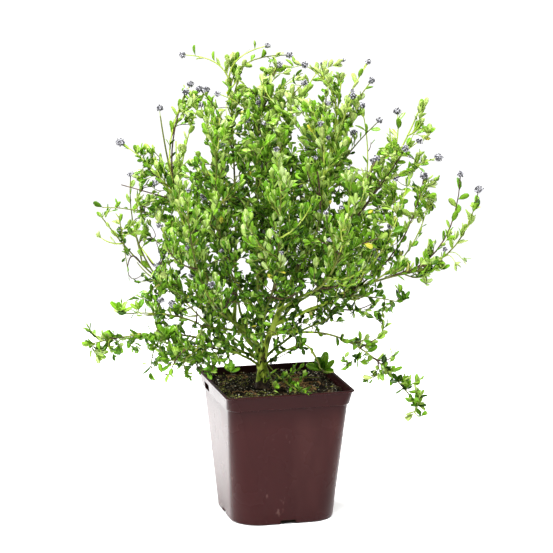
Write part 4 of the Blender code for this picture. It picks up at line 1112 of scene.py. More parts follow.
shadeNames = list(leafShades)
crownHeart = footPlace + up * leafPlan["crownMiddle"] * mm
boxLow = np.array(cadBox[0]) - leafPlan["boxMargin"] * mm
boxHigh = np.array(cadBox[1]) + leafPlan["boxMargin"] * mm


# Everything that grows is gathered here as plain rows, and made into meshes at the end
class Growth:
    def __init__(self):
        self.wood = []  # kind, curve, radius at the root, radius at the tip
        self.leaves = []  # root, heading, face, length, width, cup, arch, shade, whether it is loose
        self.heads = []  # middle, way, radius

    # a leaf runs from the shortest length to the longest with its size, and narrows a little as it does
    def addLeaf(self, root, heading, face, size, shade, chance, loose=False):
        shortest, longest = leafPlan["length"]
        length = shortest + (longest - shortest) * size
        length *= chance.uniform(*leafPlan["lengthJitter"]) * mm
        width = length * (chance.uniform(*leafPlan["widthShare"]) + leafPlan["widening"] * size)
        cup, arch = chance.uniform(*leafPlan["cup"]), chance.uniform(*leafPlan["arch"])
        self.leaves.append((*root, *heading, *face, length, width, cup, arch, shade, loose))


growth = Growth()


# Which points stand in a bay, or before the trunk in a clearing: their places in the picture are
# right . (p - eye) / depth and above . (p - eye) / depth, brought to the foot's depth and measured from it
def inBays(points):
    eye, right, above, back = (np.array(v) for v in viewAxes())
    both = np.concatenate([[footPlace], np.asarray(points)]) - eye
    depth = -(both @ back)
    seen = np.stack([both @ right, both @ above], -1) / depth[:, None]
    seen = (seen[1:] - seen[0]) * depth[0] / mm
    bay, clearing = (((((seen[:, None] - rows[:, :2]) / rows[:, 2:]) ** 2).sum(-1) < 1).any(1)
                     for rows in (np.array(bays, dtype=float), np.array(clearings, dtype=float)))
    return bay | (clearing & (depth[1:] < depth[0] + clearingDepth * mm))


# How light leaves are painted: the crown's height in mm and its half sizes in metres, what height, distance
# from its heart and nearness to the ground add as painted light, and what the painted shade takes off
lightPlan = {
    "tall": 335, "halves": (0.165, 0.125, 0.185), "high": 0.5, "out": 0.46, "furthest": 1.3,
    "low": 0.15, "lowShare": 0.3, "shade": 0.035, "jitter": 0.19, "yellowShare": 0.005,
}
# The lightest value of each shade but the last, for a leaf's place in the light
shadeLimits = {"Shade": 0.28, "Deep": 0.42, "Mid": 0.53, "Fresh": 0.65, "Bright": 0.8, "Lime": 0.96}


# How light the leaves at a point are painted, 0 in the painted shade of the inside to 1 at the young
# outside:
# higher up and further out is lighter, partly young growth and partly painted light, and so is the crown's
# foot, painted as lit by the floor
def lightAt(point):
    plan = lightPlan
    height = (point.z - footPlace.z) / (plan["tall"] * mm)
    away = point - crownHeart
    wide, deep, tall = plan["halves"]
    out = math.sqrt((away.x / wide) ** 2 + (away.y / deep) ** 2 + (away.z / tall) ** 2)
    low = max(0, 1 - height / plan["lowShare"])
    outer = plan["out"] * min(out, plan["furthest"])
    return plan["high"] * height + outer + plan["low"] * low - plan["shade"]


# Shade number for a leaf: the shade whose limit its light stays under. Few leaves are yellow
def shadeFor(light, chance):
    value = light + chance.gauss(0, lightPlan["jitter"])
    if chance.random() < lightPlan["yellowShare"]:
        return shadeNames.index("Yellow")
    for name, limit in shadeLimits.items():
        if value < limit:
            return shadeNames.index(name)
    return shadeNames.index("YoungLit")


# A leaf's heading and face: it leaves the stem at a spread and rises the more the lighter its place is. Its
# face looks along the stem, a little back to it, up and out of the crown
def leafWay(along, turn, spread, point, roll, light):
    outwards = Matrix.Rotation(turn, 3, along) @ along.orthogonal().normalized()
    low, high = leafPlan["lift"]
    lift = low + (high - low) * min(1, max(0, light))
    heading = (along * math.cos(spread) + outwards * math.sin(spread) + up * lift).normalized()
    onward, back, outOfCrown, upward = leafPlan["facing"]
    outer = (point - crownHeart).normalized() * outOfCrown
    face = along * onward - outwards * back + outer + up * upward
    return heading, Matrix.Rotation(roll, 3, heading) @ face


# A leaf's size from its light: leaves are larger at the outer tips than inside
def sizeAt(light, extra):
    least, more = leafPlan["size"]
    return least + more * min(1.0, max(0.0, light)) ** leafPlan["sizePower"] + extra


# Small tufts of leaves along a curve by the golden angle, from the share first on: one full leaf with up to
# two smaller ones beside it. A rosette closes the curve's tip, or the tip is bare under a flower head
def addLeaves(curve, first, spacing, extra, light, rosette, chance, loose=False):
    plan = leafPlan
    length = curve.length()
    lastClosed, lastLoose, lastBare = plan["lastShare"]
    last = lastClosed if rosette else lastLoose if loose else lastBare
    count = max(1, round((last - first) * length / (spacing * mm)))
    jitter, beside = plan["spreadJitter"], plan["besideTurn"]
    turn = chance.uniform(0, math.tau)
    for k in range(count):
        share = first + (last - first) * (k + 0.5) / count
        turn += goldenAngle
        point, along = curve.at(share), curve.direction(share)
        tone = light + plan["lightUpCurve"] * (share - 0.5)
        for n in range(chance.choice(plan["sparseTuft" if loose else "tuft"])):
            spread = plan["looseSpread" if loose else "spread"] * chance.uniform(1 - jitter, 1 + jitter)
            roll = chance.uniform(-plan["roll"], plan["roll"])
            turned = turn + n * chance.uniform(-beside, beside)
            heading, face = leafWay(along, turned, spread, point, roll, light)
            size = sizeAt(light, extra) * chance.uniform(*plan["besideScale" if n else "fullScale"])
            shade = shadeFor(tone + plan["lightBeside"] * (n > 0), chance)
            growth.addLeaf(point, heading, face, size, shade, chance, loose)
    tip, along = curve.end, curve.direction(1.0)
    for k in range(rosette):
        spread = chance.uniform(*plan["tipSpread"]) if k else plan["tipFirstSpread"]
        roll = chance.uniform(-plan["tipRoll"], plan["tipRoll"])
        heading, face = leafWay(along, turn + k * math.tau / max(1, rosette), spread, tip, roll, light)
        size = sizeAt(light, extra) * chance.uniform(*plan["tipScale"])
        shade = shadeFor(light + plan["lightAtTip"], chance)
        growth.addLeaf(tip - along * plan["tipSunk"] * mm, heading, face, size, shade, chance, loose)


# Wood of a kind along a curve, its radius running evenly from root to tip
def addWood(kind, curve, root, tip):
    growth.wood.append((kind, curve, root * mm, tip * mm))


# A flower head on a bare stalk that bends up from the tip of a shoot
def addHead(curve, radius, stalk):
    along = curve.direction(1.0)
    way = (along + up * 0.5).normalized() if stalk else along
    tip = curve.end + way * stalk * mm
    if stalk:
        bend = curve.end + along * stalk * mm / 2
        addWood("stalk", LimbCurve(curve.end, bend, tip), *twigPlan["stalkRadii"])
    if max(np.array(tip) - boxHigh) < -radius * mm and min(np.array(tip) - boxLow) > radius * mm:
        growth.heads.append((*tip, *way, radius * mm))


# A few twigs in the light end in a small flower head
def perhapsHead(twig, light, chance):
    if light > twigPlan["headFrom"] and chance.random() < twigPlan["headShare"]:
        addHead(twig, chance.uniform(*twigPlan["headRadius"]), chance.uniform(*twigPlan["stalk"]))


# Small twigs along a shoot by the golden angle, shorter towards its tip, each with its own leaves
def addTwigs(curve, first, last, spacing, reach, extra, light, chance, chanceOfOne=1.0, loose=False):
    plan = twigPlan
    length = curve.length()
    count = max(1, round((last - first) * length / (spacing * mm)))
    turn = chance.uniform(0, math.tau)
    for k in range(count):
        share = first + (last - first) * (k + 0.5) / count
        turn += goldenAngle + chance.uniform(-plan["turnJitter"], plan["turnJitter"])
        far = chance.uniform(*reach) * mm * (1 - plan["tipShrink"] * share)
        if chance.random() > chanceOfOne:
            continue
        twig = leavingShoot(curve, share, turn, far, plan["setOff"], plan["endWay"])
        points = np.array([tuple(twig.at(s)) for s in (0.5, 1.0)])
        if not space.free(points, plan["clearance"] * mm).all() or (not loose and inBays(points).any()):
            continue
        tone = light + chance.gauss(0, plan["toneJitter"])
        rosette = chance.choice(plan["tipLeaves"])
        addWood("twig", twig, *plan["twigRadii"])
        addLeaves(twig, plan["leavesFrom"], plan["leafSpacing"], extra, tone, rosette, chance, loose)
        perhapsHead(twig, light, chance)


# A stem's wood ends before the solids' large tip leaf, or runs on where a long shoot leaves it past there
def woodOfStem(name, stem):
    wood = stem.beforeTipLeaf()
    last = max((row[0] for row in longShoots.get(name, ())), default=0)
    return stem if last * stem.length() > wood.length() else wood


# How much larger or smaller than usual a mass's leaves are
leafSizes = {"basal": -0.25, "low_front_right": 0.35, "low_left": 0.15, "low_right": 0.1}
# On stems, side shoots and long shoots: how far before their ends they stop, from and to which share
# their leaves and twigs stand, how far apart in mm, and how many leaves close the tip
growPlan = {
    "stemBare": 9, "stemLeast": 0.6, "shootBare": 8, "shootLeast": 0.5, "stemTip": 0.7, "youngFrom": 0.55,
    "lightFrom": (0.7, 0.8), "toneJitter": 0.05, "tipLeaves": 3, "headRadius": (3.0, 4.3),
    "longLeavesFrom": 0.1, "longLeafSpacing": 7, "longLeafExtra": 0.16, "longTwigs": (0.05, 0.75),
    "longTwigSpacing": 13, "longTwigReach": (6, 15), "longTwigSmaller": 0.1, "longTwigShare": 0.65,
    "leavesFrom": 0.15, "leafSpacing": 6.5, "twigs": (0.1, 0.9),
    "stemLeavesFrom": 0.1, "stemLeafSpacing": 9, "stemTwigs": (0.06, 0.97), "stemTwigSpacing": 10,
    "stemTipLeaves": 4, "stemHeadRadius": 3.4, "stemStalk": 6,
}


# A mass: its stem, the shoots that keep to its space and the long ones, and their twigs, leaves and flower
# heads. The draws that the source makes too come from rule, and the finer ones from chance
def growMass(name):
    plan = growPlan
    _, _, longest, flowering = masses[name]
    stem = stems[name]
    number = list(masses).index(name)
    rule, chance = (random.Random(own["seed"] * 1000 + number) for own in (shootPlan, twigPlan))
    extra, density = leafSizes.get(name, 0.0), openSprays.get(name, 1.0)
    wood = woodOfStem(name, stem)
    tipOfStem = stem.shortened(max(plan["stemLeast"], 1 - plan["stemBare"] * mm / stem.length()))
    root, share, tip = boughs[name][5], plan["youngFrom"], plan["stemTip"]
    addWood("stem", tipOfStem.shortened(share), root, root + (tip - root) * share)
    addWood("stemEnd", tipOfStem.after(share), root + (tip - root) * share, tip)
    shoots = []
    for curve, (_, _, _, flower) in zip(longs[name], longShoots.get(name, ())):
        shoots.append((curve, flower, True))
    for share, tip, bow, flower in fineShoots.get(name, ()):
        shoots.append((longShootCurve(stem, share, tip, bow), flower, True))
    leafyShare = bareTips.get(name, 1.0)
    sideShoots = sideShootCurves(wood, longest, rule)
    for number, curve in enumerate(sideShoots):
        share = space.fit(name, curve)
        flower = rule.random() < flowering
        if share and (number + 0.5) / len(sideShoots) < leafyShare:
            shoots.append((curve.shortened(share), flower, False))
    usualLong = (plan["longLeafSpacing"], plan["longLeafExtra"], plan["longTwigShare"] * density)
    shootLight, stemLight = plan["lightFrom"]
    for curve, flower, isLong in shoots:
        reach = 1 - (0 if flower else plan["shootBare"]) * mm / curve.length()
        curve = curve.shortened(max(plan["shootLeast"], reach))
        light = lightAt(curve.at(shootLight)) + chance.gauss(0, plan["toneJitter"])
        rosette = 0 if flower else plan["tipLeaves"]
        addWood("shoot", curve, *twigPlan["shootRadii"])
        if isLong:
            spacing, size, share = longLeaves.get(name, usualLong)
            larger, smaller = extra + size, extra + size - plan["longTwigSmaller"]
            addLeaves(curve, plan["longLeavesFrom"], spacing, larger, light, rosette, chance, True)
            addTwigs(curve, *plan["longTwigs"], plan["longTwigSpacing"], plan["longTwigReach"], smaller,
                     light, chance, share, True)
        else:
            addLeaves(curve, plan["leavesFrom"], plan["leafSpacing"], extra, light, rosette, chance)
            addTwigs(curve, *plan["twigs"], twigPlan["spacing"], twigPlan["reach"], extra, light,
                     chance, density)
        if flower:
            addHead(curve, chance.uniform(*plan["headRadius"]), 0)
    light = lightAt(stem.at(stemLight))
    leafy = tipOfStem.shortened(leafyShare)
    spacing, isLeafy = leafyStems.get(name, plan["stemLeafSpacing"]), name in leafyStems
    larger = extra + (plan["longLeafExtra"] if isLeafy else 0)
    rosette = plan["stemTipLeaves"] if leafyShare == 1 else 0
    addLeaves(leafy, plan["stemLeavesFrom"], spacing, larger, light, rosette, chance, isLeafy)
    addTwigs(leafy, *plan["stemTwigs"], plan["stemTwigSpacing"], twigPlan["reach"], extra, light,
             chance, density)
    if leafyShare < 1:
        addHead(tipOfStem, plan["stemHeadRadius"], plan["stemStalk"])


# Samples of all the wood so far: points and the ways the wood runs there
def woodSamples():
    points, ways = [], []
    for curve in [row[1] for row in growth.wood] + [curves[name] for name in boughs]:
        steps = max(1, round(curve.length(steps=3) / (fillPlan["sample"] * mm)))
        points += [curve.at(i / steps) for i in range(1, steps + 1)]
        ways += [curve.direction(i / steps) for i in range(1, steps + 1)]
    return np.array(points), np.array(ways)


# Grid places with a random shift of half a cell, kept where ((p - middle) / half)^2 < 1 in the layout
def fillPlaces(middle, half, cell, rng):
    middle, half = np.array(middle, dtype=float), np.array(half, dtype=float)
    axes = [np.arange(-h, h, cell) for h in half]
    grid = np.stack(np.meshgrid(*axes, indexing="ij"), -1).reshape(-1, 3)
    grid = grid + rng.uniform(-0.5, 0.5, grid.shape) * cell
    grid = grid[((grid / half) ** 2).sum(1) < 1] + middle
    turn = np.array(Matrix.Rotation(crownTurn, 3, "Z"))
    return np.array(footPlace) + grid @ turn.T * mm


# A twig from the wood at a start, setting off the way the wood runs there, to a spot
def twigTo(spot, start, way):
    chord = spot - start
    control = start + way * fillPlan["setOff"] * chord.length + chord * fillPlan["lean"]
    return LimbCurve(start, control, spot + up * fillPlan["rise"] * chord.length)


# The number of the wood sample nearest each spot, worked out for some spots at a time
def nearestWood(spots, points):
    atOnce = 60
    return np.concatenate([np.linalg.norm(part[:, None] - points[None], axis=2).argmin(1)
                           for part in np.array_split(spots, 1 + len(spots) // atOnce)])


# Twigs are drawn to the places of each round between near and far of other wood, in the box, outside the
# bays and clear of the limbs. Where broad noise is low the crown is left more open
def fillCrown():
    plan = fillPlan
    rng = np.random.default_rng(plan["seed"])
    chance = random.Random(plan["seed"])
    drawn = 0
    for middle, half, cells, near in fillRounds:
        for cell in cells:
            points, ways = woodSamples()
            spots = fillPlaces(middle, half, cell, rng)
            nearest = nearestWood(spots, points)
            gaps = np.linalg.norm(spots - points[nearest], axis=1)
            wanted = (gaps > near * mm) & (gaps < plan["far"] * mm) & ~inBays(spots)
            wanted &= ((spots > boxLow) & (spots < boxHigh)).all(1)
            wanted &= space.free(spots, plan["clearance"] * mm)
            wanted &= smoothNoise(spots, plan["openCell"] * mm, seed=91) > plan["openBelow"]
            drawn += int(wanted.sum())
            for spot, start, way in zip(spots[wanted], points[nearest][wanted], ways[nearest][wanted]):
                spot = Vector(spot)
                twig = twigTo(spot, Vector(start), Vector(way))
                light = lightAt(spot)
                tone = light + chance.gauss(0, twigPlan["toneJitter"])
                addWood("twig", twig, *twigPlan["twigRadii"])
                addLeaves(twig, plan["leavesFrom"], twigPlan["leafSpacing"], 0.0, tone, plan["tipLeaves"],
                          chance)
                perhapsHead(twig, light, chance)
    print("filling twigs:", drawn)


# A rosette's leaves set off round an axis by the golden angle, at a spread from it, faces along the axis.
# A bowed twig ties it to the nearest wood, unless that is near
def addRosettes():
    plan = rosettePlan
    chance = random.Random(plan["seed"])
    shortest, longest = leafPlan["length"]
    points, ways = woodSamples()
    front = viewAxes()[3]
    for where, count, length, light, spreads, lean, facing in rosettes:
        spot = place(where)
        nearest = int(nearestWood(np.array([spot]), points)[0])
        start, way = Vector(points[nearest]), Vector(ways[nearest])
        if (spot - start).length > plan["near"] * mm:
            twig = LimbCurve(start, (start + spot) / 2 + way * plan["bow"] * mm, spot)
            addWood("twig", twig, *plan["twigRadii"])
        axis = (up + front * lean).normalized()
        turn = chance.uniform(0, math.tau)
        for k in range(count):
            turn += goldenAngle
            spread = spreads[0] + (spreads[1] - spreads[0]) * (k + 0.5) / count
            outwards = Matrix.Rotation(turn, 3, axis) @ axis.orthogonal().normalized()
            heading = (axis * math.cos(spread) + outwards * math.sin(spread)).normalized()
            size = (length * chance.uniform(*plan["lengths"]) - shortest) / (longest - shortest)
            face = axis - outwards * plan["back"] + front * facing
            growth.addLeaf(spot, heading, face, size, shadeFor(light, chance), chance, True)


# A sprig is a thin shoot lifted by its bow, with loose leaves along it
def addSprigs():
    plan = sprigPlan
    chance = random.Random(plan["seed"])
    for start, tip, bow, spacing, extra, light in sprigs:
        start, tip = place(start), place(tip)
        curve = LimbCurve(start, (start + tip) / 2 + liftAcross(tip - start) * bow, tip)
        addWood("shoot", curve, *plan["radii"])
        addLeaves(curve, plan["leavesFrom"], spacing, extra, light, plan["tipLeaves"], chance, True)


# Small twigs and leaves along the outer part of the boughs, which fill the crown's foot. The basal bough
# is a sprig of its own and carries none
def dressBoughs():
    plan = boughTwigPlan
    for number, name in enumerate(boughs):
        if name != "basal":
            chance = random.Random(plan["seed"] + number)
            first, light = plan["from"].get(name, plan["usualFrom"]), plan["light"]
            addTwigs(curves[name], first, 1.0, plan["spacing"], plan["reach"], plan["extra"], light, chance,
                     plan["share"])
            addLeaves(curves[name], first, plan["leafSpacing"], 0.0, light, plan["tipLeaves"], chance)


for name in masses:
    growMass(name)
dressBoughs()
addSprigs()
fillCrown()
addRosettes()
print("growth:", len(growth.wood), "shoots and twigs,", len(growth.leaves), "leaves,",
      len(growth.heads), "heads")


# Leaves as closed thin shapes: a point at distance L u along the leaf and W w(u) v / 2 across it, raised
# by cup |v| and a puff each side of the midrib, and bent by arch (u - u^2). The underside follows the same
# edge, with a keel under the midrib. Points: base, rows across the leaf, tip, keels
def leafMeshes(rows, form):
    keelDepth = 0.07
    _, _, stations, widths, columns, puffs = leafForms[form]
    root, heading, face = rows[:, 0:3], rows[:, 3:6], rows[:, 6:9]
    length, width, cup, arch = (rows[:, k, None] for k in (9, 10, 11, 12))
    side = normalised(np.cross(heading, face))
    face = np.cross(side, heading)
    n, c = len(stations), len(columns)
    u = np.concatenate([[0.0], np.repeat(stations, c), [1.0], stations])
    w = np.concatenate([[0.0], np.repeat(widths, c), [0.0], widths])
    v = np.concatenate([[0.0], np.tile(columns, n), [0.0], np.zeros(n)])
    puff = np.concatenate([[0.0], np.tile(puffs, n), [0.0], np.full(n, -keelDepth)])
    across = width * w * v / 2
    raised = width * w * (cup * np.abs(v) + puff) + arch * length * (u - u**2)
    points = (root[:, None] + heading[:, None] * (length * u)[..., None] + side[:, None] * across[..., None]
              + face[:, None] * raised[..., None])
    tip, keels = c * n + 1, c * n + 2 + np.arange(n)
    k, i = (grid.ravel() for grid in np.meshgrid(np.arange(n - 1), np.arange(c - 1), indexing="ij"))
    corner = 1 + k * c + i
    top = np.stack([corner, corner + 1, corner + 1 + c, corner + c], -1)
    i = np.arange(c - 1)
    topEnds = np.concatenate([np.stack([0 * i, 2 + i, 1 + i], -1),
                              np.stack([tip + 0 * i, tip - c + i, tip - c + 1 + i], -1)])
    left, right, keel = 1 + c * np.arange(n - 1), c + c * np.arange(n - 1), keels[:-1]
    under = np.concatenate([np.stack([keel, left, left + c, keel + 1], -1),
                            np.stack([right, keel, keel + 1, right + c], -1)])
    underEnds = np.array([(0, 1, keels[0]), (0, keels[0], c),
                          (tip, keels[-1], tip - c), (tip, tip - 1, keels[-1])])
    offsets = (np.arange(len(rows)) * points.shape[1])[:, None, None]
    faceSets = [(faces[None] + offsets).reshape(-1, faces.shape[1])
                for faces in (top, topEnds, under, underEnds)]
    places = np.tile(np.stack([(v + 1) / 2, u], -1), (len(rows), 1))
    return points.reshape(-1, 3), faceSets, places


# How leaves take light: a face's shine is a little plus a share of its green, and its pale midrib and
# painted edge highlight are the lighter tone times a part plus a little
leafLook = {
    "shine": (0.11, 0.34), "ribsAndSheen": (1.45, 0.015), "roughness": (0.17, 0.32),
    "underRoughness": (0.6, 0.75), "underShine": 0.05,
}
leafPatch = (90.0, 1.0, 0.42, 0.62)
leafGrain = {"roughScale": 160.0, "grainScale": 900.0, "grain": 0.45, "grainDepth": 0.0004}


# A leaf's surface: soft patches of the lighter tone over the base, and a pale midrib with a painted
# highlight on its edge where it has a colour for them
def leafMaterial(name, base, light, rough, shine, ribsAndSheen):
    look = dict(leafGrain, base=base, patches=[(light, *leafPatch)], roughness=rough, shine=shine)
    return naturalMaterial(name, dict(look, ribsAndSheen=ribsAndSheen) if ribsAndSheen else look)


foliageNodes = ["foliage_" + name for name in masses]
pieces = [potShell, trunkBark, boughBark, oldWood]


# A piece of the crown stands for every mass
def addFoliage(piece):
    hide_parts(*foliageNodes)
    pieces.append(piece)


# Leaves are kept where their tips are in the box, they are clear of the limbs, and neither their middles
# nor their tips stand in a bay. A share of the loose ones may. Each shade is one piece
def makeLeaves():
    rows = np.array(growth.leaves)
    roots, lengthwise = rows[:, 0:3], rows[:, 3:6] * rows[:, 9:10]
    tips = roots + lengthwise
    inBox = ((tips > boxLow) & (tips < boxHigh)).all(1)
    batches = 40
    parts = np.array_split(roots + lengthwise * leafPlan["clearAt"], batches)
    clear = np.concatenate([space.free(part, leafPlan["clearance"] * mm) for part in parts])
    inBay = inBays(roots + lengthwise * 0.5) | inBays(tips)
    chance = np.random.default_rng(seed=70).random(len(rows))
    rows = rows[inBox & clear & (~inBay | (chance < rows[:, 14] * leafPlan["looseInBays"]))]
    print("leaves kept:", len(rows))
    least, share = leafLook["shine"]
    brighter, more = leafLook["ribsAndSheen"]
    for number, (shade, (base, light, under)) in enumerate(leafShades.items()):
        own = rows[rows[:, 13] == number]
        parts, places, kinds = [], [], []
        for form, (shortest, longest, *_) in leafForms.items():
            chosen = own[(own[:, 9] >= shortest * mm) & (own[:, 9] < longest * mm)]
            if len(chosen):
                points, faceSets, placed = leafMeshes(chosen, form)
                parts.append((points, faceSets))
                places.append(placed)
                kinds += [0, 0, 1, 1]
        # colour of the pale midrib and of the edge's painted highlight, lighter than the light tone
        ribsAndSheen = colour(*(min(1.0, brighter * part + more) for part in light[:3]))
        shine = least + share * base[1]
        looks = [leafMaterial("leaf" + shade, base, light, leafLook["roughness"], shine, ribsAndSheen),
                 leafMaterial("leafUnder" + shade, under, under, leafLook["underRoughness"],
                              leafLook["underShine"], None)]
        piece = makePiece("leaves" + shade, *joined(parts), looks, kinds, places=np.concatenate(places))
        addFoliage(piece)
        print("  ", shade, len(own), "leaves")


makeLeaves()

stemLook = {
    "base": colour(0.11, 0.135, 0.016), "patches": [(colour(0.23, 0.28, 0.04), 90.0, 3.0, 0.48, 0.64),
                                                    (colour(0.05, 0.048, 0.012), 160.0, 3.0, 0.5, 0.64)],
    "roughness": (0.42, 0.6), "roughScale": 300.0, "grainScale": 2400.0, "grain": 0.25,
    "grainDepth": 0.0003, "shine": 0.18,
}
# twigs in the light: a lighter colour, partly young growth and partly painted light
youngAndLitLook = dict(stemLook, base=colour(0.3, 0.4, 0.045), patches=[
    (colour(0.44, 0.53, 0.11), 90.0, 3.0, 0.46, 0.64)])
brownLook = dict(stemLook, base=colour(0.05, 0.03, 0.016), patches=[
    (colour(0.11, 0.07, 0.036), 120.0, 3.0, 0.5, 0.66)], roughness=(0.6, 0.8))
# Each kind of wood: how many rings and sides its tubes have, and what share of it is brown
woodKinds = {
    "stem": (14, 7, 0.0), "stemEnd": (12, 7, 0.0), "shoot": (9, 6, 0.26), "twig": (5, 5, 0.22),
    "stalk": (5, 5, 0.3),
}
woodPlan = {"seed": 77, "lightAt": 0.8, "jitter": 0.1, "brownBelow": 0.8, "youngAndLitAbove": 0.7}


# All the shoots and twigs as tubes in three woods: a share of each kind is brown, save in full light, and
# the rest is painted by its light: a lighter colour in the light, partly young growth and partly painted
# light, and green in the painted shade
def makeWood():
    plan = woodPlan
    chance = random.Random(plan["seed"])
    sets = {"greenStems": [], "youngAndLitTwigs": [], "brownTwigs": []}
    for kind, curve, root, tip in growth.wood:
        light = lightAt(curve.at(plan["lightAt"])) + chance.gauss(0, plan["jitter"])
        isBrown = chance.random() < woodKinds[kind][2] and light < plan["brownBelow"]
        # lighter where lightAt is high: partly young growth, partly painted light
        isYoungAndLit = light > plan["youngAndLitAbove"] and kind != "stem"
        title = "brownTwigs" if isBrown else "youngAndLitTwigs" if isYoungAndLit else "greenStems"
        sets[title].append((kind, curve, root, tip))
    looks = {"greenStems": stemLook, "youngAndLitTwigs": youngAndLitLook, "brownTwigs": brownLook}
    for title, rows in sets.items():
        parts = []
        for kind, (rings, sides, _) in woodKinds.items():
            own = [row for row in rows if row[0] == kind]
            if own:
                ends = [[getattr(row[1], end) for row in own] for end in ("start", "control", "end")]
                shares = np.linspace(0, 1, rings)
                root, tip = (np.array([row[k] for row in own])[:, None] for k in (2, 3))
                parts.append(tubes(*ends, root + (tip - root) * shares, shares, sides))
        addFoliage(makePiece(title, *joined(parts), [naturalMaterial(title, looks[title])]))


makeWood()


# Flower heads

# Buds: radii and spacing in mm, how much of a head's ball they cover, how deep and scattered they sit
budPlan = {
    "budRadius": (0.48, 0.92), "spacing": 1.4, "seed": 5, "darkShare": 0.52, "cover": 0.9,
    "depth": (0.55, 1.12), "scatter": 0.09, "standOff": 0.6, "shape": (0.9, 0.9, 0.8), "lighter": 1.5,
}
budPatch = (500.0, 1.0, 0.5, 0.7)
budGrain = {
    "roughness": (0.6, 0.8), "roughScale": 400.0, "grainScale": 3000.0, "grain": 0.3,
    "grainDepth": 0.0002, "shine": 0.3,
}
budLooks = {
    "budsPale": colour(0.38, 0.375, 0.41), "budsDark": colour(0.05, 0.05, 0.056),
}


# A ball of twelve corners, (0, 1, g) and the like with every sign, g the golden ratio, and twenty faces
def icosahedron():
    g = (1 + math.sqrt(5)) / 2
    points = np.array([(-1, g, 0), (1, g, 0), (-1, -g, 0), (1, -g, 0), (0, -1, g), (0, 1, g),
                       (0, -1, -g), (0, 1, -g), (g, 0, -1), (g, 0, 1), (-g, 0, -1), (-g, 0, 1)])
    faces = np.array([(0, 11, 5), (0, 5, 1), (0, 1, 7), (0, 7, 10), (0, 10, 11), (1, 5, 9), (5, 11, 4),
                      (11, 10, 2), (10, 7, 6), (7, 1, 8), (3, 9, 4), (3, 4, 2), (3, 2, 6), (3, 6, 8),
                      (3, 8, 9), (4, 9, 5), (2, 4, 11), (6, 2, 10), (8, 6, 7), (9, 8, 1)])
    return normalised(points), faces


# Balls at the given middles, each stretched by three sizes and turned by its own matrix
def lumps(middles, sizes, turns=None):
    points, faces = icosahedron()
    shaped = points[None] * sizes[:, None]
    if turns is not None:
        shaped = np.einsum("nij,nkj->nki", turns, shaped)
    offsets = (np.arange(len(middles)) * len(points))[:, None, None]
    return (middles[:, None] + shaped).reshape(-1, 3), [(faces[None] + offsets).reshape(-1, 3)]


# Matrices of random turns, from random quaternions
def randomTurns(count, rng):
    w, x, y, z = normalised(rng.normal(size=(count, 4))).T
    return np.stack([
        np.stack([1 - 2 * (y * y + z * z), 2 * (x * y - w * z), 2 * (x * z + w * y)], -1),
        np.stack([2 * (x * y + w * z), 1 - 2 * (x * x + z * z), 2 * (y * z - w * x)], -1),
        np.stack([2 * (x * z - w * y), 2 * (y * z + w * x), 1 - 2 * (x * x + y * y)], -1)], -2)


# Buds over each head by a golden spiral: the k-th of n at height 1 - 2 (k + 0.5) / n of a ball
def makeHeads():
    plan = budPlan
    rng = np.random.default_rng(plan["seed"])
    middles, isDark = [], []
    for row in growth.heads:
        centre, way, radius = np.array(row[0:3]), np.array(row[3:6]), row[6]
        count = int(4 * math.pi * (radius / mm) ** 2 / plan["spacing"] ** 2 * plan["cover"])
        k = np.arange(count)
        z = 1 - 2 * (k + 0.5) / count
        turn = goldenAngle * k
        ball = np.stack([np.sqrt(1 - z * z) * np.cos(turn), np.sqrt(1 - z * z) * np.sin(turn), z], -1)
        ball = ball * rng.uniform(*plan["depth"], (count, 1)) + rng.normal(0, plan["scatter"], (count, 3))
        middles.append(centre + way * radius * plan["standOff"] + ball * radius * plan["shape"])
        isDark.append(rng.random(count) < plan["darkShare"])
    middles, isDark = np.concatenate(middles), np.concatenate(isDark)
    sizes = rng.uniform(*plan["budRadius"], (len(middles), 1)) * mm * np.ones((1, 3))
    for title, chosen in (("budsPale", ~isDark), ("budsDark", isDark)):
        base = budLooks[title]
        lighter = colour(*(min(1, part * plan["lighter"]) for part in base[:3]))
        look = dict(budGrain, base=base, patches=[(lighter, *budPatch)])
        points, faceSets = lumps(middles[chosen], sizes[chosen])
        addFoliage(makePiece(title, points, faceSets, [naturalMaterial(title, look)]))
    print("buds:", len(middles))


makeHeads()


# The compost

# Sizes in mm. Swells, lumps and fine roughness: how high, in which cells, of which seed. Bits keep off the
# margin at the pot, its round corners and the trunk's foot
compostPlan = {
    "edgeDrop": 1.2, "rows": 84, "swells": (1.0, 22.0, 31), "lumps": (1.5, 5.0, 32),
    "fine": (0.7, 1.7, 33), "gap": 0.3, "cornerSteps": 28, "sideSteps": 32, "flattens": 10,
    "margin": 3.2, "corner": 9, "foot": 8.5, "seed": 17,
}
compostTop = potPlan["height"] - standPlan["belowRim"]
compostLook = {
    "base": colour(0.005, 0.004, 0.002), "patches": [
        (colour(0.016, 0.0125, 0.006), 220.0, 1.0, 0.5, 0.64),
        (colour(0.0018, 0.0014, 0.0008), 400.0, 1.0, 0.5, 0.62)],
    "roughness": (0.8, 1.0), "roughScale": 300.0, "grainScale": 1800.0, "grain": 0.8,
    "grainDepth": 0.0008, "shine": 0.06,
}


# The height of the compost's top over a point of the plan: swells, lumps and a fine roughness of noise
def compostHeight(x, y):
    at = np.stack([x, y, 0 * x], -1)
    height = 0
    for title in ("swells", "lumps", "fine"):
        high, cell, seed = compostPlan[title]
        height = height + high * smoothNoise(at, cell, seed)
    return height


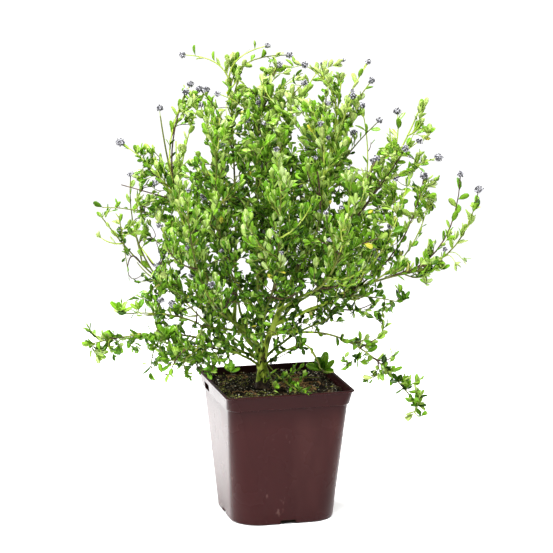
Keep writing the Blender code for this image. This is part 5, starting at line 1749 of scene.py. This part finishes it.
# The compost fills the pot: its top is a grid of rings that shrink to the middle, raised by
# compostHeight, and its sides follow the pot's inside down to the floor
def makeCompost():
    plan = compostPlan
    inset = potPlan["wall"] + plan["gap"]
    collarFoot = potPlan["height"] - potPlan["collarHeight"]
    edge = compostTop - plan["edgeDrop"]
    flats, rounds = squareRound(plan["cornerSteps"], plan["sideSteps"])
    below = []
    for height in (inset, collarFoot - potPlan["wall"]):
        side, corner = bodySide(height)
        below.append((side - 2 * inset, corner - inset, height))
    corner = potPlan["bodyTopCorner"] - inset
    below.append((potPlan["bodyTopSide"] - 2 * inset, corner, collarFoot + potPlan["wall"]))
    share = (edge - collarFoot) / potPlan["collarHeight"]
    topSide = potPlan["collarFootSide"] + (potPlan["collarTopSide"] - potPlan["collarFootSide"]) * share
    below.append((topSide - 2 * inset - plan["gap"], corner, edge))
    sides = squareRings(np.array(below), flats, rounds)
    shrink = 1 - np.arange(1, plan["rows"] + 1) / (plan["rows"] + 1)
    rings = sides[-1][None] * shrink[:, None, None]
    rise = 1 - shrink[:, None] ** plan["flattens"]
    swell = compostHeight(rings[..., 0], rings[..., 1]) * np.sqrt(rise)
    rings[..., 2] = compostTop - plan["edgeDrop"] * (1 - rise) + swell
    rings = np.concatenate([sides, rings]) * mm
    points, faceSets = closedRings(rings, (0, 0, inset * mm), (0, 0, compostTop * mm))
    return makePiece("compostBed", points, faceSets, [naturalMaterial("compostBed", compostLook)])


# Places on the compost, spread at random, kept off the trunk's foot and out of the pot's round corners
def compostPlaces(count, rng):
    plan = compostPlan
    half, round = potPlan["collarTopSide"] / 2 - plan["margin"], plan["corner"]
    x, y = rng.uniform(-half, half, (2, count * 2))
    foot = np.hypot(x - footPlace.x / mm, y - footPlace.y / mm)
    inCorner = np.hypot(np.maximum(np.abs(x) - half + round, 0), np.maximum(np.abs(y) - half + round, 0))
    keep = (foot > plan["foot"]) & (inCorner < round)
    x, y = x[keep][:count], y[keep][:count]
    return np.stack([x, y, compostTop + compostHeight(x, y)], -1)


# How many bits of each kind, their three radii in mm, their colour and its lighter patches
compostBits = {
    "peatCrumbs": (2600, (0.5, 1.5), (0.5, 1.2), (0.4, 0.9),
                   colour(0.0075, 0.006, 0.003), colour(0.07, 0.056, 0.032)),
    "barkChips": (620, (1.2, 3.2), (0.6, 1.3), (0.25, 0.5),
                  colour(0.05, 0.03, 0.014), colour(0.15, 0.1, 0.05)),
    "moss": (2400, (0.5, 1.3), (0.3, 0.9), (0.25, 0.6),
             colour(0.15, 0.185, 0.03), colour(0.42, 0.45, 0.11)),
    "grit": (700, (0.4, 1.1), (0.3, 0.8), (0.25, 0.5),
             colour(0.26, 0.26, 0.18), colour(0.56, 0.56, 0.45)),
}
# Moss grows where broad noise, drawn up towards the front left, is high. Bits tilt, and their points are
# moved by fine noise in metres
bitsPlan = {
    "mossCell": 14.0, "mossSlope": 0.012, "mossFrom": 0.15, "tilt": 0.5, "cell": 0.0006,
    "rough": 0.00018, "patch": (160.0, 1.0, 0.46, 0.6),
}


# A piece with a look, for the compost
def addToCompost(title, points, faceSets, look, smooth=True):
    piece = makePiece(title, points, faceSets, [naturalMaterial(title, look)], smooth=smooth)
    pieces.append(piece)


# Bits of each kind as lumps on the compost: crumbs turned any way, the others lying flat
def makeBits():
    plan = bitsPlan
    rng = np.random.default_rng(compostPlan["seed"])
    for title, (amount, longest, middle, least, base, light) in compostBits.items():
        places = compostPlaces(amount, rng)
        if title == "moss":
            slope = plan["mossSlope"] * (-places[:, 0] - places[:, 1])
            thick = smoothNoise(places * (1, 1, 0), plan["mossCell"], seed=41) + slope
            places = places[thick > plan["mossFrom"]]
        count = len(places)
        sizes = np.stack([rng.uniform(*radii, count) for radii in (longest, middle, least)], -1)
        turns = randomTurns(count, rng)
        tilt = rng.uniform(-plan["tilt"], plan["tilt"], (count, 2))
        spin = rng.uniform(0, math.tau, count)
        flatTurns = np.stack([
            np.stack([np.cos(spin), -np.sin(spin), tilt[:, 0]], -1),
            np.stack([np.sin(spin), np.cos(spin), tilt[:, 1]], -1),
            np.stack([-tilt[:, 0], -tilt[:, 1], np.ones(count)], -1)], -2)
        points, faceSets = lumps(places * mm, sizes * mm, turns if title == "peatCrumbs" else flatTurns)
        points = points + smoothNoise(points, plan["cell"], seed=42)[:, None] * plan["rough"]
        look = dict(compostLook, base=base, patches=[(light, *plan["patch"])])
        addToCompost(title, points, faceSets, look, smooth=title == "moss")


# Sizes in mm: most roots start in a tuft, given by its middle and width, and none goes past furthest. A
# root has a number of arcs, with their half length, bend and height
rootsPlan = {
    "count": 26, "inTuft": 22, "tuft": ((24, 8), (-2, 10)), "others": 50, "furthest": 56,
    "arcs": (5, 10), "reach": (1.6, 2.8), "bend": (0.5, 1.1), "bendChange": (0.3, 1.2), "arch": (0.8, 4.0),
    "lift": 0.5, "radius": 0.42, "rings": 7, "sides": 5,
}
rootsLook = dict(compostLook, base=colour(0.13, 0.075, 0.03), patches=[
    (colour(0.3, 0.18, 0.075), 150.0, 1.0, 0.45, 0.6)])


# Fine roots curl over the compost: each is a row of arcs whose heading turns on by its bend
def makeRoots():
    plan = rootsPlan
    chance = random.Random(compostPlan["seed"] + 1)
    rows = []
    for k in range(plan["count"]):
        if k < plan["inTuft"]:
            x, y = (chance.gauss(*part) for part in plan["tuft"])
        else:
            x, y = (chance.uniform(-plan["others"], plan["others"]) for _ in range(2))
        heading = chance.uniform(0, math.tau)
        bend = chance.choice((-1, 1)) * chance.uniform(*plan["bend"])
        for _ in range(chance.randint(*plan["arcs"])):
            reach = chance.uniform(*plan["reach"])
            middle = (x + math.cos(heading) * reach, y + math.sin(heading) * reach)
            heading += bend * chance.uniform(*plan["bendChange"])
            end = (middle[0] + math.cos(heading) * reach, middle[1] + math.sin(heading) * reach)
            ground = [compostTop + plan["lift"] + float(compostHeight(np.array(p[0]), np.array(p[1])))
                      for p in ((x, y), middle, end)]
            arch = chance.uniform(*plan["arch"])
            if max(abs(end[0]), abs(end[1])) < plan["furthest"]:
                rows.append([(x, y, ground[0]), (*middle, ground[1] + arch), (*end, ground[2])])
            x, y = end
    rows = np.array(rows) * mm
    shares = np.linspace(0, 1, plan["rings"])
    radii = np.full((len(rows), plan["rings"]), plan["radius"] * mm)
    points, faceSets = tubes(rows[:, 0], rows[:, 1], rows[:, 2], radii, shares, plan["sides"])
    addToCompost("fineRoots", points, faceSets, rootsLook)


compostBed = makeCompost()
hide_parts("compost")
pieces.append(compostBed)
makeBits()
makeRoots()
print("compost: bed, crumbs, chips, moss and roots")


# Camera, floor and light

studioPlan = {
    "floorRadius": 1.1, "floorSides": 96, "floorRoughness": 0.9, "floorShine": 0.1,
    "floorColour": colour(0.97, 0.97, 0.97),
    "worldStrength": 0.33, "backdropStrength": 1.1,
    # each light: its place, what it points at, its size, its power and how wide its beam is
    "lights": {
        "overhead": ((-0.42, -0.85, 2.3), (0, 0, 0.2), 1.4, 119.0, 180),
        "frontLeft": ((-1.8, -2.0, 1.7), (0, 0, 0.3), 0.9, 44.0, 180),
        "backFloor": ((-0.25, 0.6, 1.4), (-0.14, 0.3, 0.0), 0.4, 6.2, 70),
        "lowFloor": ((-0.75, 0.75, 0.4), (-0.1, 0.13, 0.0), 0.25, 0.8, 50),
        "rightFloor": ((0.9, 0.45, 0.9), (0.17, 0.02, 0.0), 0.5, 1.6, 60),
    },
}


# The photo's camera: at the view's place, along its axes
def makeCamera():
    plan = viewPlan
    eye, right, above, back = viewAxes()
    camera = bpy.data.objects.new("camera", bpy.data.cameras.new("camera"))
    camera.data.sensor_width = plan["sensor"]
    camera.data.lens = plan["sensor"] * plan["focal"] / plan["frame"]
    camera.data.clip_end = plan["clip"]
    axes = Matrix((right, above, back)).transposed().to_4x4()
    camera.matrix_world = Matrix.Translation(eye) @ axes
    bpy.context.scene.collection.objects.link(camera)
    bpy.context.scene.camera = camera


# A round floor, a white backdrop that lights the plant less than it shows, and the lights
def makeStudio():
    plan = studioPlan
    sides = plan["floorSides"]
    turns = math.tau * np.arange(sides) / sides
    ring = np.stack([np.cos(turns), np.sin(turns), 0 * turns], -1) * plan["floorRadius"]
    material = bpy.data.materials.new("floor")
    material.use_nodes = True
    shader = material.node_tree.nodes["Principled BSDF"]
    shader.inputs["Base Color"].default_value = plan["floorColour"]
    shader.inputs["Roughness"].default_value = plan["floorRoughness"]
    shader.inputs["Specular IOR Level"].default_value = plan["floorShine"]
    points = np.concatenate([ring, [(0, 0, 0)]])
    floor = makePiece("floor", points, [fan(sides, 0, sides)], [material], smooth=False)
    world = bpy.data.worlds.new("studio")
    world.use_nodes = True
    tree = world.node_tree
    nodes = addNodes(tree, {"seen": "Background", "path": "LightPath", "choose": "MixShader"}, (
        "path:Is Camera Ray > choose:0", "given:0 > choose:1", "seen:0 > choose:2",
        "choose:0 > out:Surface"), given=tree.nodes["Background"], out=tree.nodes["World Output"])
    for title, strength in (("given", plan["worldStrength"]), ("seen", plan["backdropStrength"])):
        nodes[title].inputs["Strength"].default_value = strength
        nodes[title].inputs["Color"].default_value = colour(1.0, 1.0, 1.0)
    bpy.context.scene.world = world
    for name, (where, target, size, power, beam) in plan["lights"].items():
        light = bpy.data.lights.new(name, "AREA")
        light.shape = "SQUARE"
        light.size = size
        light.energy = power
        light.spread = math.radians(beam)
        lamp = bpy.data.objects.new(name, light)
        lamp.location = where
        lamp.rotation_euler = (Vector(target) - Vector(where)).to_track_quat("-Z", "Y").to_euler()
        lamp.visible_camera = False
        bpy.context.scene.collection.objects.link(lamp)
    bpy.context.scene.view_settings.view_transform = "Standard"


makeCamera()
makeStudio()

for piece in pieces:
    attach(piece, "root")
triangles = sum(len(p.vertices) - 2 for piece in pieces for p in piece.data.polygons)
print("in all:", len(pieces), "pieces,", triangles, "triangles")
